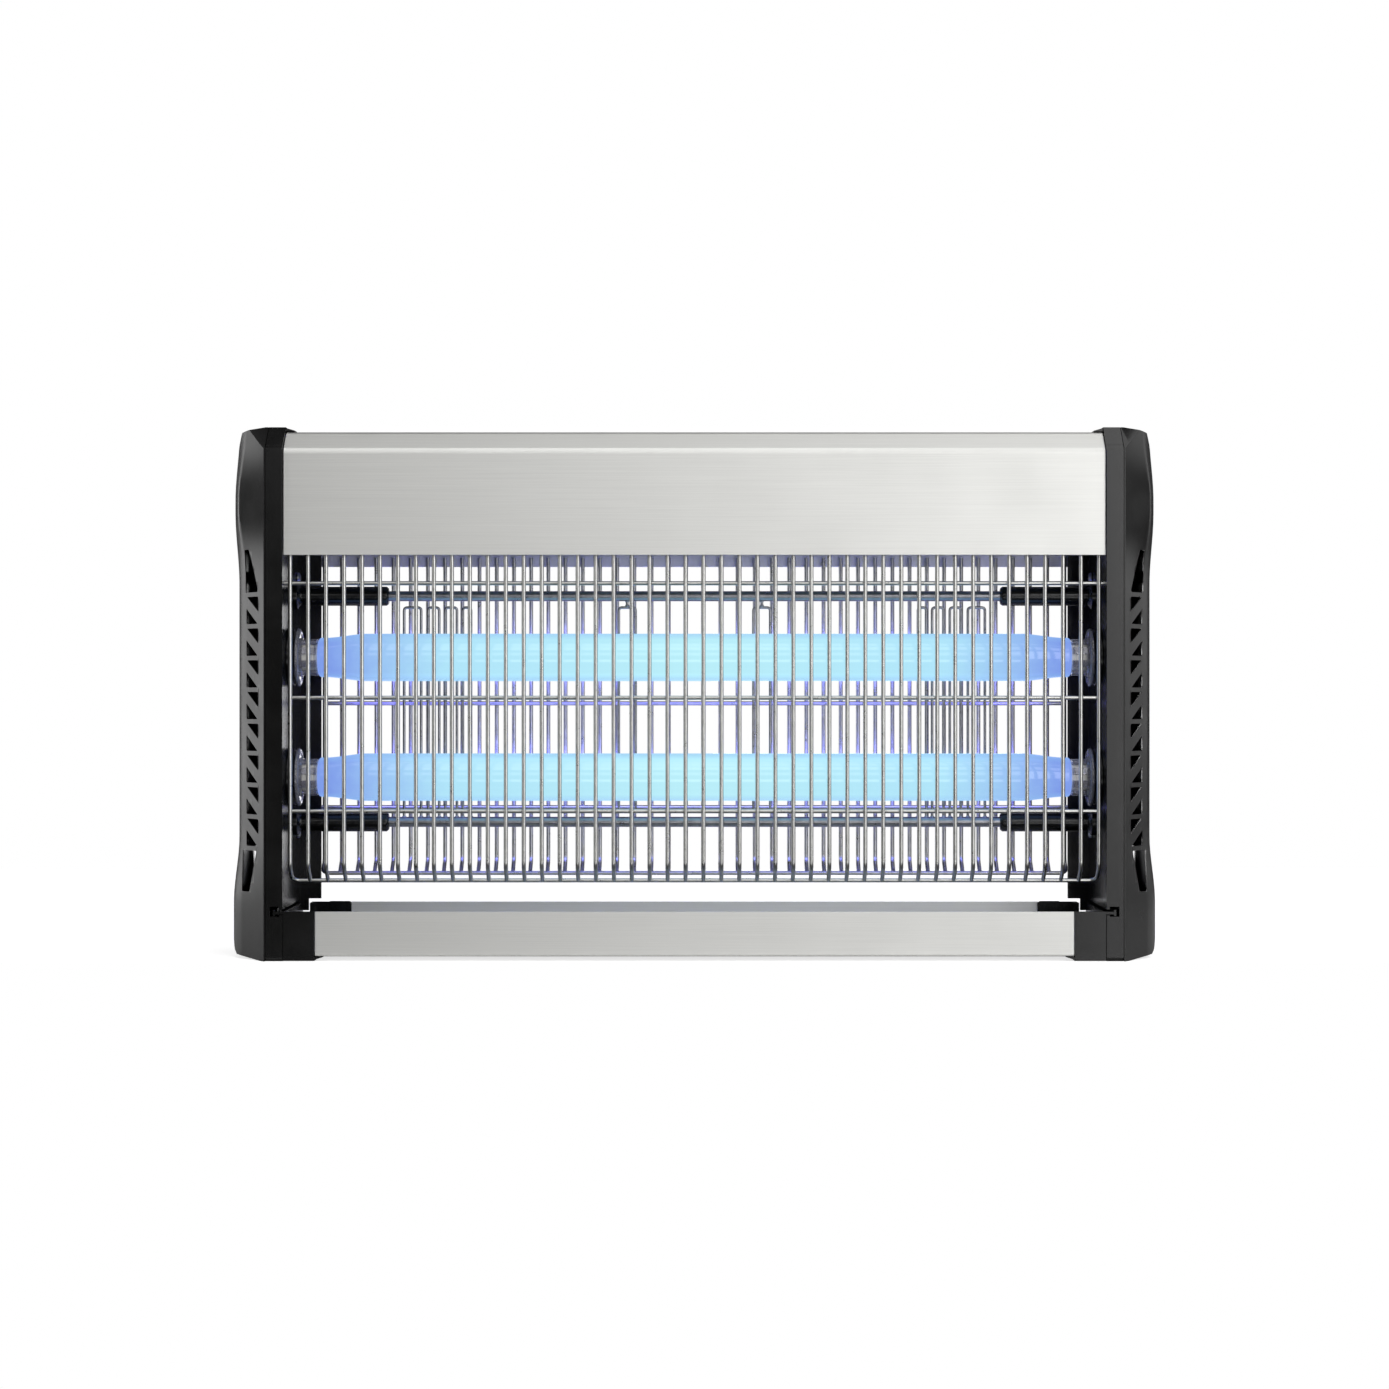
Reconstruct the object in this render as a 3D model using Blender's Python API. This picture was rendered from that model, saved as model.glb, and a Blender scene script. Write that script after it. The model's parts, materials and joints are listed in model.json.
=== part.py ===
"""Electric bug zapper: two ultraviolet tubes and a high-voltage wire grid between two end frames.

X runs along the tubes, the front faces -Y, Z is up, and the origin is on the floor under the middle.
All lengths are metres.
"""
import math

import bpy
import bmesh
from mathutils import Vector

for old in list(bpy.data.objects):
    bpy.data.objects.remove(old, do_unlink=True)

# driving dimensions
GAP = 0.0003                # clearance left between touching pieces
HEIGHT = 0.289              # floor to the top of the end frames
HALF_DEPTH = 0.045          # centre plane to the front of the end frames
WALL_X = 0.222              # centre plane to the inner wall of an end frame
FRAME_DEPTH = 0.0092        # thickness of an end frame along X
COVER_X = 0.2315            # centre plane to the inner rim of an end cover
SLOPE_RUN = 0.015           # the sloping top edge, along Y
SLOPE_RISE = 0.0125         # the sloping top edge, along Z
FOOT_CHAMFER = 0.002        # bottom edge of the end frames
FRAME_WALL = 0.0024         # moulded wall of the end frames
COVER_WALL = 0.0022         # moulded wall of the end covers
HOUSING_TOP = 0.2864        # top of the folded aluminium housing
HOUSING_FRONT = 0.043       # centre plane to its front and rear faces
HOUSING_LOW_FRONT = 0.219   # lower edge of its front face
HOUSING_LOW_REAR = 0.216    # lower edge of its rear face
HOUSING_SHEET = 0.0012
PLATE_Z = 0.2225            # underside of the chassis plate
LAMP_Y = -0.015             # lamp axes stand in front of the wire grid
LAMP_HEIGHTS = {"upper": 0.1641, "lower": 0.0985}
LAMP_R = 0.013              # T8 tube
LAMP_END_X = 0.2058         # open end of the glass
GRID_Y = 0.002              # plane of the high-voltage wires
ROD_Z = {"upper": 0.1982, "lower": 0.0733}
ROD_R = 0.0028
GRID_WIRE_R = 0.0008
SLEEVE_TIP_X = 0.169        # inner tip of the insulating sleeves
SLEEVE_R = (0.0040, 0.0053, 0.0075)    # radius at the tip, of the sleeve and of its seating flange
SLEEVE_TAPER = 0.0014
SLEEVE_FLANGE = 0.003
WIRE_PITCH = 0.00972        # spacing of the guard wires
GUARD_Y = 0.038             # centre plane to the guards' upright wires
GUARD_WIRE_R = 0.00115
CROSS_OFFSET = 0.0019       # cross wires lie this far inside the upright ones
GUARD_TOP = 0.221           # upper ends of the upright wires
GUARD_BEND_Z = 0.050        # below this the upright wires lean inward
GUARD_LEAN = 0.010
GUARD_PAIRS = {"front": 23, "rear": 22}     # upright wires on each side of the middle
FRONT_CROSS = (0.204, 0.142, 0.0806)
FRONT_BOTTOM = 0.0427
REAR_CROSS = (0.200, 0.1388, 0.0802)
REAR_BOTTOM = 0.0435
PIVOT_X = 0.2242            # ends of the cross wires that sit in the end frames
TRAY_FRONT = 0.0445         # front face of the collecting tray
TRAY_REAR = 0.039
TRAY_TOP = 0.0268
TRAY_LOW = 0.0026           # underside of the aluminium pan
TRAY_PAN_X = 0.2045         # half length of the pan
TRAY_SHEET = 0.0010
GROOVE = (0.2237, 0.2288, 0.0241, 0.0295)   # X and Z limits of the tray groove

ALL_AXES = {"X": (0, 1, 2), "Y": (1, 0, 2), "Z": (2, 0, 1)}


def material(name, colour, roughness, metallic=0.0):
    """A plain Principled material."""
    made = bpy.data.materials.new(name)
    made.use_nodes = True
    shader = made.node_tree.nodes["Principled BSDF"]
    shader.inputs["Base Color"].default_value = (*colour, 1.0)
    shader.inputs["Roughness"].default_value = roughness
    shader.inputs["Metallic"].default_value = metallic
    return made


BLACK_PLASTIC = material("black_plastic", (0.012, 0.012, 0.012), 0.45)
COVER_PLASTIC = material("cover_plastic", (0.035, 0.035, 0.036), 0.38)
ALUMINIUM = material("aluminium", (0.62, 0.62, 0.60), 0.35, 1.0)
STEEL_WIRE = material("steel_wire", (0.55, 0.55, 0.54), 0.3, 1.0)
ZINC_STEEL = material("zinc_steel", (0.5, 0.5, 0.5), 0.4, 1.0)
LAMP_GLASS = material("lamp_glass", (0.45, 0.80, 0.95), 0.25)
WHITE_CERAMIC = material("white_ceramic", (0.80, 0.78, 0.72), 0.5)
CLEAR_PLASTIC = material("clear_plastic", (0.55, 0.55, 0.60), 0.15)
COPPER_WINDING = material("copper_winding", (0.45, 0.16, 0.06), 0.4, 0.6)


def box_outline(a0, a1, b0, b1):
    return [(a0, b0), (a1, b0), (a1, b1), (a0, b1)]


def prism(bm, outline, axis, low, high):
    """Extrude a flat outline along an axis. The outline holds the two other coordinates in order."""
    main, first, second = ALL_AXES[axis]

    def place(a, b, t):
        spot = [0.0, 0.0, 0.0]
        spot[main], spot[first], spot[second] = t, a, b
        return spot

    face = bm.faces.new([bm.verts.new(place(a, b, low)) for a, b in outline])
    grown = bmesh.ops.extrude_face_region(bm, geom=[face])
    moved = [item for item in grown["geom"] if isinstance(item, bmesh.types.BMVert)]
    bmesh.ops.translate(bm, verts=moved, vec=Vector(place(0, 0, high - low)))


def box(bm, x, y, z):
    """Add a box from its limits along X, Y and Z."""
    prism(bm, box_outline(*x, *y), "Z", *z)


def turn(bm, profile, segments, closed=False, axis=(1, 0, 0)):
    """Turn a profile of (along, radius) points round an axis through the origin."""
    along = Vector(axis)
    across = Vector((0, 0, 1)) if along.z == 0 else Vector((1, 0, 0))
    verts = [bm.verts.new(along * a + across * r) for a, r in profile]
    pairs = list(zip(verts, verts[1:]))
    if closed:
        pairs.append((verts[-1], verts[0]))
    edges = [bm.edges.new(pair) for pair in pairs]
    bmesh.ops.spin(bm, geom=verts + edges, cent=(0, 0, 0), axis=along, angle=math.tau,
                   steps=segments, use_merge=True)
    bmesh.ops.remove_doubles(bm, verts=bm.verts, dist=1e-6)


def cylinder(bm, centre, radius, low, high, segments=16, axis="X"):
    """A plain round bar along an axis, with its centre given in the two other coordinates."""
    outline = []
    for step in range(segments):
        angle = math.tau * (step + 0.5) / segments
        outline.append((centre[0] + radius * math.cos(angle), centre[1] + radius * math.sin(angle)))
    prism(bm, outline, axis, low, high)


def add_object(name, bm, finish, location=(0, 0, 0), parent=None, smooth=False, closed=True):
    if closed:
        bmesh.ops.recalc_face_normals(bm, faces=bm.faces)
    mesh = bpy.data.meshes.new(name)
    bm.to_mesh(mesh)
    bm.free()
    if smooth:
        mesh.shade_smooth()
        mesh.set_sharp_from_angle(angle=math.radians(35))
    mesh.materials.append(finish)
    made = bpy.data.objects.new(name, mesh)
    bpy.context.scene.collection.objects.link(made)
    made.location = location
    made.parent = parent
    return made


def combine(target, bm, operation, label):
    """Cut a helper solid out of a piece, or join it on."""
    helper = add_object(target.name + "_" + label, bm, target.data.materials[0],
                        location=target.location, parent=target.parent)
    helper.hide_render = True
    helper.display_type = "WIRE"
    boolean = target.modifiers.new(label, "BOOLEAN")
    boolean.operation = operation
    boolean.solver = "EXACT"
    boolean.object = helper


def axis_empty(name, location):
    """The joint axis that a moving group of pieces hangs on."""
    empty = bpy.data.objects.new(name, None)
    empty.location = location
    bpy.context.scene.collection.objects.link(empty)
    return empty


def wires(paths, radius, resolution=0, closed_paths=()):
    """Round wires along straight-sided paths, as one bmesh."""
    curve = bpy.data.curves.new("wires", "CURVE")
    curve.dimensions = "3D"
    curve.bevel_depth = radius
    curve.bevel_resolution = resolution
    curve.use_fill_caps = True
    for path in list(paths) + list(closed_paths):
        spline = curve.splines.new("POLY")
        spline.points.add(len(path) - 1)
        for point, place in zip(spline.points, path):
            point.co = (*place, 1.0)
        spline.use_cyclic_u = path in closed_paths
    holder = bpy.data.objects.new("wires", curve)
    bpy.context.scene.collection.objects.link(holder)
    mesh = bpy.data.meshes.new_from_object(holder.evaluated_get(bpy.context.evaluated_depsgraph_get()))
    bpy.data.objects.remove(holder, do_unlink=True)
    bm = bmesh.new()
    bm.from_mesh(mesh)
    bmesh.ops.remove_doubles(bm, verts=bm.verts, dist=1e-6)
    return bm


def side_outline(inset=0.0):
    """The end frame seen along X: upright, with sloping top edges."""
    depth = HALF_DEPTH - inset
    top = HEIGHT - inset
    half = [(depth - FOOT_CHAMFER, inset), (depth, inset + FOOT_CHAMFER),
            (depth, top - SLOPE_RISE), (depth - SLOPE_RUN, top)]
    return half + [(-y, z) for y, z in reversed(half)]


# ---- end frames: the load-bearing side walls ----

LIP_Y = (0.0315, 0.034)          # the flange that closes the rear corner
LIP_WIDE_X = 0.2102
LIP_NARROW_X = 0.2172
LIP_NOTCH_Z = (0.0223, 0.0290)    # the flange is narrower here, to clear the tray
RAIL_Z = (0.0205, 0.0325)        # solid bar that carries the tray groove
GROOVE_REAR_Y = 0.0305           # closed rear end of the tray groove
GROOVE_MOUTH = (0.0008, 0.0015)  # lips that narrow the groove at the wall, below and above
LATCH_SLOTS = ((-0.0420, -0.0400, 0.0370, 0.0434), (-0.0420, -0.0405, 0.0605, 0.0630))   # y, y, z, z
LEDGE_X = 0.2171                 # tip of the wedge that overhangs the housing
OVERSHOOT = 0.001                # how far a cutter runs past the wall it cuts
SCREW_Y = 0.018
COVER_SCREW_Z = (0.209, 0.0666)
FRAME_SCREW_Y = (-0.020, 0.020)
FRAME_SCREW_Z = 0.238
SCREW_R = 0.0015
WIRE_HOLE_R = 0.0015
FRAME_SCREW_R = 0.002


def make_end_frame(name, side):
    bm = bmesh.new()
    outer_x = WALL_X + FRAME_DEPTH
    prism(bm, side_outline(), "X", side * WALL_X, side * outer_x)
    bm.faces.ensure_lookup_table()
    mouth = max(bm.faces, key=lambda face: side * face.calc_center_median().x)
    bmesh.ops.inset_region(bm, faces=[mouth], thickness=FRAME_WALL, use_even_offset=True)
    grown = bmesh.ops.extrude_face_region(bm, geom=[mouth])
    floor = [item for item in grown["geom"] if isinstance(item, bmesh.types.BMVert)]
    bmesh.ops.translate(bm, verts=floor, vec=(-side * (FRAME_DEPTH - FRAME_WALL), 0, 0))
    bmesh.ops.delete(bm, geom=[mouth], context="FACES_ONLY")
    frame = add_object(name, bm, BLACK_PLASTIC)

    rail = bmesh.new()
    inside = HALF_DEPTH - FRAME_WALL / 2
    box(rail, (side * (WALL_X + FRAME_WALL / 2), side * (outer_x - 0.0001)), (-inside, inside), RAIL_Z)
    combine(frame, rail, "UNION", "rail")

    lip = bmesh.new()
    root_x = WALL_X + FRAME_WALL / 2
    foot, step = LIP_NOTCH_Z
    outline = [(side * root_x, foot), (side * LIP_NARROW_X, foot), (side * LIP_NARROW_X, step),
               (side * LIP_WIDE_X, step), (side * LIP_WIDE_X, PLATE_Z - GAP),
               (side * root_x, PLATE_Z - GAP)]
    prism(lip, outline, "Y", *LIP_Y)
    combine(frame, lip, "UNION", "lip")

    ledge = bmesh.new()
    top = HEIGHT - 0.0001
    root_x = WALL_X + OVERSHOOT
    outline = [(side * root_x, HOUSING_TOP + GAP), (side * LEDGE_X, HOUSING_TOP + GAP),
               (side * LEDGE_X, HOUSING_TOP + 0.0008), (side * root_x, top)]
    reach = HALF_DEPTH - SLOPE_RUN
    prism(ledge, outline, "Y", -reach, reach)
    combine(frame, ledge, "UNION", "ledge")

    groove = bmesh.new()
    x0, x1, z0, z1 = GROOVE
    mouth_x = WALL_X - OVERSHOOT
    low, high = z0 + GROOVE_MOUTH[0], z1 - GROOVE_MOUTH[1]
    outline = [(side * mouth_x, low), (side * x0, low), (side * x0, z0), (side * x1, z0),
               (side * x1, z1), (side * x0, z1), (side * x0, high), (side * mouth_x, high)]
    prism(groove, outline, "Y", -HALF_DEPTH - OVERSHOOT, GROOVE_REAR_Y)
    combine(frame, groove, "DIFFERENCE", "groove")

    holes = bmesh.new()
    low, high = side * (WALL_X - FRAME_WALL), side * (WALL_X + 2 * FRAME_WALL)
    for y, z, radius in wall_holes():
        cylinder(holes, (y, z), radius, low, high, 10)
    for y0, y1, z0, z1 in LATCH_SLOTS:
        box(holes, (low, high), (y0, y1), (z0, z1))
    combine(frame, holes, "DIFFERENCE", "holes")


def wall_holes():
    """Round holes through the inner wall: wire ends and screws, as (y, z, radius)."""
    cross_y = GUARD_Y - CROSS_OFFSET
    found = [(-cross_y, FRONT_CROSS[0], WIRE_HOLE_R), (cross_y, REAR_CROSS[0], WIRE_HOLE_R),
             (cross_y, REAR_CROSS[2], WIRE_HOLE_R)]
    found += [(SCREW_Y, z, SCREW_R + GAP) for z in COVER_SCREW_Z]
    found += [(y, FRAME_SCREW_Z, FRAME_SCREW_R + GAP) for y in FRAME_SCREW_Y]
    return found


# ---- end covers: bulged outer shells with a zigzag row of windows ----

COVER_BULGE = ((0.0, 0.2532), (0.012, 0.2535), (0.032, 0.2535), (0.0425, 0.2526), (0.064, 0.2505),
               (0.190, 0.2503), (0.214, 0.2506), (0.240, 0.2524), (0.256, 0.2521), (HEIGHT, 0.2501))
TRUSS_TOP = 0.198           # uppermost cross strut
TRUSS_PITCH = 0.0172
TRUSS_CELLS = 8
STRUT = 0.0024
WINDOW_X = (0.2358, 0.2439)
WINDOW_LIMITS_Z = (0.0368, 0.2224)     # lowest and highest window edge
WINDOW_LEGS = (0.0082, 0.0086)         # height of the inner and outer triangles
WINDOW_SKEW = 0.0004                   # the triangles' corners are staggered this much along X
TOP_WINDOW = (0.0006, 0.0022)          # how far it runs past the outer edge, and its width at the top
LOW_WINDOW = (0.0012, 0.0026, 0.0017)  # inset of its inner edge, reach of its outer edge, corner height
POST_R = 0.0036
POST_TIP_X = 0.2464         # where a screw post runs into the outer wall
PILOT_TIP_X = 0.2365        # blind end of its screw hole
COVER_SCREW_LENGTH = 0.013
FRAME_SCREW_LENGTH = 0.009
RIM_ALLOWANCE = 0.003       # extra rim, trimmed off once the wall has its thickness
RIM_FLAT = 0.0006           # the section runs straight out from the rim this far
COVER_CORNER = ((0.0062, 0.026), (0.0016, 0.018), (0.0, 0.009))   # inset from the outside, and Y
# flats on the top and bottom of a cover: a point (x, z) on each, and its direction (x, z)
COVER_SLICES = (((0.2330, HEIGHT), (0.0029, 0.0156)), ((0.2480, 0.2832), (0.0063, 0.0022)),
                ((0.2508, 0.0034), (0.0035, -0.0022)), ((0.2400, 0.0008), (0.0022, -0.0160)))


def cover_section(outer_x):
    """Section of a cover from the front rim round the outside to the rear rim, as (x, y)."""
    front = [(COVER_X - RIM_ALLOWANCE, -HALF_DEPTH), (COVER_X + RIM_FLAT, -HALF_DEPTH)]
    front += [(outer_x - inset, -y) for inset, y in COVER_CORNER]
    return front + [(x, -y) for x, y in reversed(front)]


def slice_off(bm, point, normal):
    """Cut the solid by a plane, drop the part in front of it and close the cut."""
    geometry = bm.verts[:] + bm.edges[:] + bm.faces[:]
    cut = bmesh.ops.bisect_plane(bm, geom=geometry, dist=1e-7, plane_co=point, plane_no=normal,
                                 clear_outer=True)
    rim = [item for item in cut["geom_cut"] if isinstance(item, bmesh.types.BMEdge)]
    bmesh.ops.holes_fill(bm, edges=rim)


def truss_windows():
    """Outlines of the windows, as (x, z) on the right-hand side."""
    inner, outer = WINDOW_X
    lowest, highest = WINDOW_LIMITS_Z
    past, width = TOP_WINDOW
    leg_inner, leg_outer = WINDOW_LEGS
    windows = [[(inner, TRUSS_TOP + STRUT / 2), (outer + past, TRUSS_TOP + STRUT / 2),
                (outer + past, highest), (outer - width, highest)]]
    for cell in range(TRUSS_CELLS):
        top = TRUSS_TOP - cell * TRUSS_PITCH - STRUT / 2
        low = TRUSS_TOP - (cell + 1) * TRUSS_PITCH + STRUT / 2
        windows.append([(outer - WINDOW_SKEW, top), (inner, top), (inner, top - leg_inner)])
        windows.append([(outer, low), (outer, low + leg_outer), (inner + WINDOW_SKEW, low)])
    last = TRUSS_TOP - TRUSS_CELLS * TRUSS_PITCH - STRUT / 2
    inset, reach, corner = LOW_WINDOW
    windows.append([(inner + inset, last), (outer + reach, last), (outer + reach, lowest + corner),
                    (outer + reach - corner, lowest), (outer - inset, lowest),
                    (outer - reach, lowest + corner)])
    return windows


def make_end_cover(name, side):
    bm = bmesh.new()
    rings = []
    for z, outer_x in COVER_BULGE:
        rings.append([bm.verts.new((side * x, y, z)) for x, y in cover_section(outer_x)])
    for low, high in zip(rings, rings[1:]):
        for i in range(len(low)):
            j = (i + 1) % len(low)
            bm.faces.new((low[i], low[j], high[j], high[i]))
    bm.faces.new(rings[0])
    bm.faces.new(rings[-1])
    for (x, z), (across, up) in COVER_SLICES:
        slice_off(bm, (side * x, 0, z), (side * across, 0, up))
    for end in (-1, 1):
        slice_off(bm, (0, end * HALF_DEPTH, HEIGHT - SLOPE_RISE), (0, end * SLOPE_RISE, SLOPE_RUN))
    bmesh.ops.recalc_face_normals(bm, faces=bm.faces)
    rim_x = COVER_X - RIM_ALLOWANCE
    inner = [face for face in bm.faces if all(abs(abs(v.co.x) - rim_x) < 1e-5 for v in face.verts)]
    bmesh.ops.delete(bm, geom=inner, context="FACES")
    bmesh.ops.triangulate(bm, faces=bm.faces)
    cover = add_object(name, bm, COVER_PLASTIC, closed=False)
    shell = cover.modifiers.new("wall", "SOLIDIFY")
    shell.thickness = COVER_WALL
    shell.offset = -1.0
    shell.use_even_offset = True

    trim = bmesh.new()
    box(trim, (side * (WALL_X - 0.01), side * COVER_X), (-0.06, 0.06), (-0.01, HEIGHT + 0.01))
    combine(cover, trim, "DIFFERENCE", "trim")
    windows = bmesh.new()
    for outline in truss_windows():
        prism(windows, [(side * x, z) for x, z in outline], "Y", -0.06, 0.06)
    combine(cover, windows, "DIFFERENCE", "windows")
    posts = bmesh.new()
    for z in COVER_SCREW_Z:
        cylinder(posts, (SCREW_Y, z), POST_R, side * (WALL_X + FRAME_WALL + GAP), side * POST_TIP_X, 12)
    combine(cover, posts, "UNION", "posts")
    pilots = bmesh.new()
    for z in COVER_SCREW_Z:
        cylinder(pilots, (SCREW_Y, z), SCREW_R + GAP, side * (WALL_X + OVERSHOOT), side * PILOT_TIP_X, 10)
    combine(cover, pilots, "DIFFERENCE", "pilots")


def make_screw(name, place, side, radius, shank, head_outward):
    """Pan-head screw on an X axis. The head is outside the wall or inside it."""
    head_r = radius * 2.0
    head_h = radius * 1.2
    bm = bmesh.new()
    profile = [(0, 0), (0, radius), (shank, radius), (shank, head_r), (shank + head_h, head_r * 0.8),
               (shank + head_h, 0)]
    turn(bm, profile, 10)
    if (side > 0) != head_outward:
        bmesh.ops.scale(bm, vec=(-1, 1, 1), verts=bm.verts)
    add_object(name, bm, ZINC_STEEL, location=place, smooth=True)


def make_screws(label, side):
    for number, z in enumerate(COVER_SCREW_Z, 1):
        tip = (side * (WALL_X - GAP + COVER_SCREW_LENGTH), SCREW_Y, z)
        make_screw(f"cover_screw_{label}_{number}", tip, side, SCREW_R, COVER_SCREW_LENGTH, False)
    for number, y in enumerate(FRAME_SCREW_Y, 1):
        tip = (side * (WALL_X + FRAME_WALL + GAP - FRAME_SCREW_LENGTH), y, FRAME_SCREW_Z)
        make_screw(f"frame_screw_{label}_{number}", tip, side, FRAME_SCREW_R, FRAME_SCREW_LENGTH, True)


# ---- top housing and what is in it ----

GLAND_X = 0.175
GLAND_Z = 0.246
GLAND_HOLE_R = 0.0062
GLAND_BORE_R = 0.0035
GLAND_FLANGE_R = 0.0085
GLAND_START_Y = 0.028       # inner end of the gland's barrel
HOUSING_BEVEL = (0.013, 0.0107)        # the sloping folds, along Y and Z
PLATE_SHEET = 0.0012
PLATE_HALF_DEPTH = 0.034
PLATE_FLANGE = 0.024        # height of the turned-up ends
TAB = (0.010, 0.0015)       # fixing tab of the electrics: length and thickness
BALLAST = (0.048, 0.019, 0.026)        # half length, half depth, height
CORE = (0.026, 0.012, 0.044)           # the same of the transformer's core
COIL = (0.017, 0.022, 0.010, 0.034)    # half length, half depth, lowest and highest point
TERMINAL = (0.009, 0.008, 0.011, 0.015)   # pitch, half depth, height between ways and at a way
BALLAST_PLACES = {"upper": -0.140, "lower": 0.072}   # middle of each along X
TRANSFORMER_X = -0.034
TERMINAL_PLACE = (0.150, 0.010, 0.0)
CHASSIS_FLOOR = PLATE_Z + PLATE_SHEET + GAP   # the electrics stand on this height


def make_housing():
    """One sheet, folded over the electrics, open below."""
    low_slope = HOUSING_TOP - HOUSING_BEVEL[1]
    flat = HOUSING_FRONT - HOUSING_BEVEL[0]
    path = [(-HOUSING_FRONT, HOUSING_LOW_FRONT), (-HOUSING_FRONT, low_slope), (-flat, HOUSING_TOP),
            (flat, HOUSING_TOP), (HOUSING_FRONT, low_slope), (HOUSING_FRONT, HOUSING_LOW_REAR)]
    bm = bmesh.new()
    end = WALL_X - GAP
    left = [bm.verts.new((-end, y, z)) for y, z in path]
    strip = [bm.edges.new(pair) for pair in zip(left, left[1:])]
    grown = bmesh.ops.extrude_edge_only(bm, edges=strip)
    moved = [item for item in grown["geom"] if isinstance(item, bmesh.types.BMVert)]
    bmesh.ops.translate(bm, verts=moved, vec=(2 * end, 0, 0))
    housing = add_object("top_housing", bm, ALUMINIUM, closed=False)
    top_face = max(housing.data.polygons, key=lambda face: face.center.z)
    if top_face.normal.z < 0:
        housing.data.flip_normals()
    sheet = housing.modifiers.new("sheet", "SOLIDIFY")
    sheet.thickness = HOUSING_SHEET
    sheet.offset = -1.0
    sheet.use_even_offset = True
    hole = bmesh.new()
    reach = 3 * HOUSING_SHEET
    cylinder(hole, (GLAND_X, GLAND_Z), GLAND_HOLE_R, HOUSING_FRONT - reach, HOUSING_FRONT + reach, 16, "Y")
    combine(housing, hole, "DIFFERENCE", "gland_hole")


def make_gland():
    """Cable bushing in the rear face: a flange outside, a barrel inside and a bore through both."""
    bm = bmesh.new()
    face = HOUSING_FRONT + GAP - GLAND_START_Y
    barrel = GLAND_HOLE_R - GAP
    profile = [(0.0, GLAND_BORE_R), (0.0, barrel - 0.001), (0.8 * face, barrel), (face, barrel),
               (face, GLAND_FLANGE_R), (face + 0.0012, GLAND_FLANGE_R), (face + 0.0014, GLAND_BORE_R)]
    turn(bm, profile, 12, closed=True, axis=(0, 1, 0))
    add_object("cord_gland", bm, BLACK_PLASTIC, location=(GLAND_X, GLAND_START_Y, GLAND_Z), smooth=True)


def make_chassis():
    """Steel plate under the electrics, with a turned-up flange at each end."""
    reach = WALL_X - GAP
    inside = reach - PLATE_SHEET
    floor, top = PLATE_Z + PLATE_SHEET, PLATE_Z + PLATE_FLANGE
    bm = bmesh.new()
    outline = [(-reach, top), (-reach, PLATE_Z), (reach, PLATE_Z), (reach, top),
               (inside, top), (inside, floor), (-inside, floor), (-inside, top)]
    prism(bm, outline, "Y", -PLATE_HALF_DEPTH, PLATE_HALF_DEPTH)
    plate = add_object("chassis_plate", bm, ZINC_STEEL)
    holes = bmesh.new()
    for y in FRAME_SCREW_Y:
        cylinder(holes, (y, FRAME_SCREW_Z), FRAME_SCREW_R + GAP, -WALL_X, WALL_X, 10)
    combine(plate, holes, "DIFFERENCE", "screw_holes")


def tabbed_block(half_length, half_depth, height):
    """A block on the chassis plate with a thin fixing tab at each end."""
    reach = half_length + TAB[0]
    top, tab = CHASSIS_FLOOR + height, CHASSIS_FLOOR + TAB[1]
    bm = bmesh.new()
    outline = [(-reach, CHASSIS_FLOOR), (reach, CHASSIS_FLOOR), (reach, tab), (half_length, tab),
               (half_length, top), (-half_length, top), (-half_length, tab), (-reach, tab)]
    prism(bm, outline, "Y", -half_depth, half_depth)
    return bm


def make_ballast(name, centre_x):
    """Lamp ballast: a potted can with a fixing tab at each end."""
    add_object(name, tabbed_block(*BALLAST), ZINC_STEEL, location=(centre_x, 0, 0))


def make_transformer():
    """High-voltage transformer: laminated core with the windings standing out of both sides."""
    made = add_object("hv_transformer", tabbed_block(*CORE), COPPER_WINDING,
                      location=(TRANSFORMER_X, 0, 0))
    half_length, half_depth, low, high = COIL
    coil = bmesh.new()
    box(coil, (-half_length, half_length), (-half_depth, half_depth),
        (CHASSIS_FLOOR + low, CHASSIS_FLOOR + high))
    corners = [edge for edge in coil.edges if abs(edge.verts[0].co.z - edge.verts[1].co.z) > low]
    bmesh.ops.bevel(coil, geom=corners, offset=0.005, segments=2, profile=0.5, affect="EDGES", material=-1)
    combine(made, coil, "UNION", "coil")


def make_terminal_block():
    """Five-way screw terminal beside the gland."""
    pitch, half_depth, low, high = TERMINAL
    bm = bmesh.new()
    outline = [(0, CHASSIS_FLOOR), (0, CHASSIS_FLOOR + low)]
    for way in range(5):
        start = way * pitch
        outline += [(start + pitch / 6, CHASSIS_FLOOR + high),
                    (start + pitch * 5 / 6, CHASSIS_FLOOR + high), (start + pitch, CHASSIS_FLOOR + low)]
    outline.append((5 * pitch, CHASSIS_FLOOR))
    prism(bm, outline, "Y", -half_depth, half_depth)
    add_object("terminal_block", bm, WHITE_CERAMIC, location=TERMINAL_PLACE)


# ---- lamps ----

NECK_R = 0.0105
GLASS_WALL = 0.0010
SHOULDER = ((0.0, NECK_R - 0.0006), (0.0030, NECK_R), (0.0150, 0.0120), (0.0270, LAMP_R))
CAP_R = 0.0078
CAP_X = (0.2042, 0.2155)
PIN_R = 0.0012
PIN_OFFSET = 0.00635
PIN_TIP_X = 0.2214
RING_X = (0.2064, 0.2154, 0.2176)     # neck start, flange start, flange end
RING_BORE_R = 0.0083
RING_R = 0.0160                       # wide flange
HOLDER_R = 0.0158
EDGE = 0.0010                         # rounded-off edges of the small turned pieces
HOLDER_X = (0.2179, WALL_X - GAP)


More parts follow.
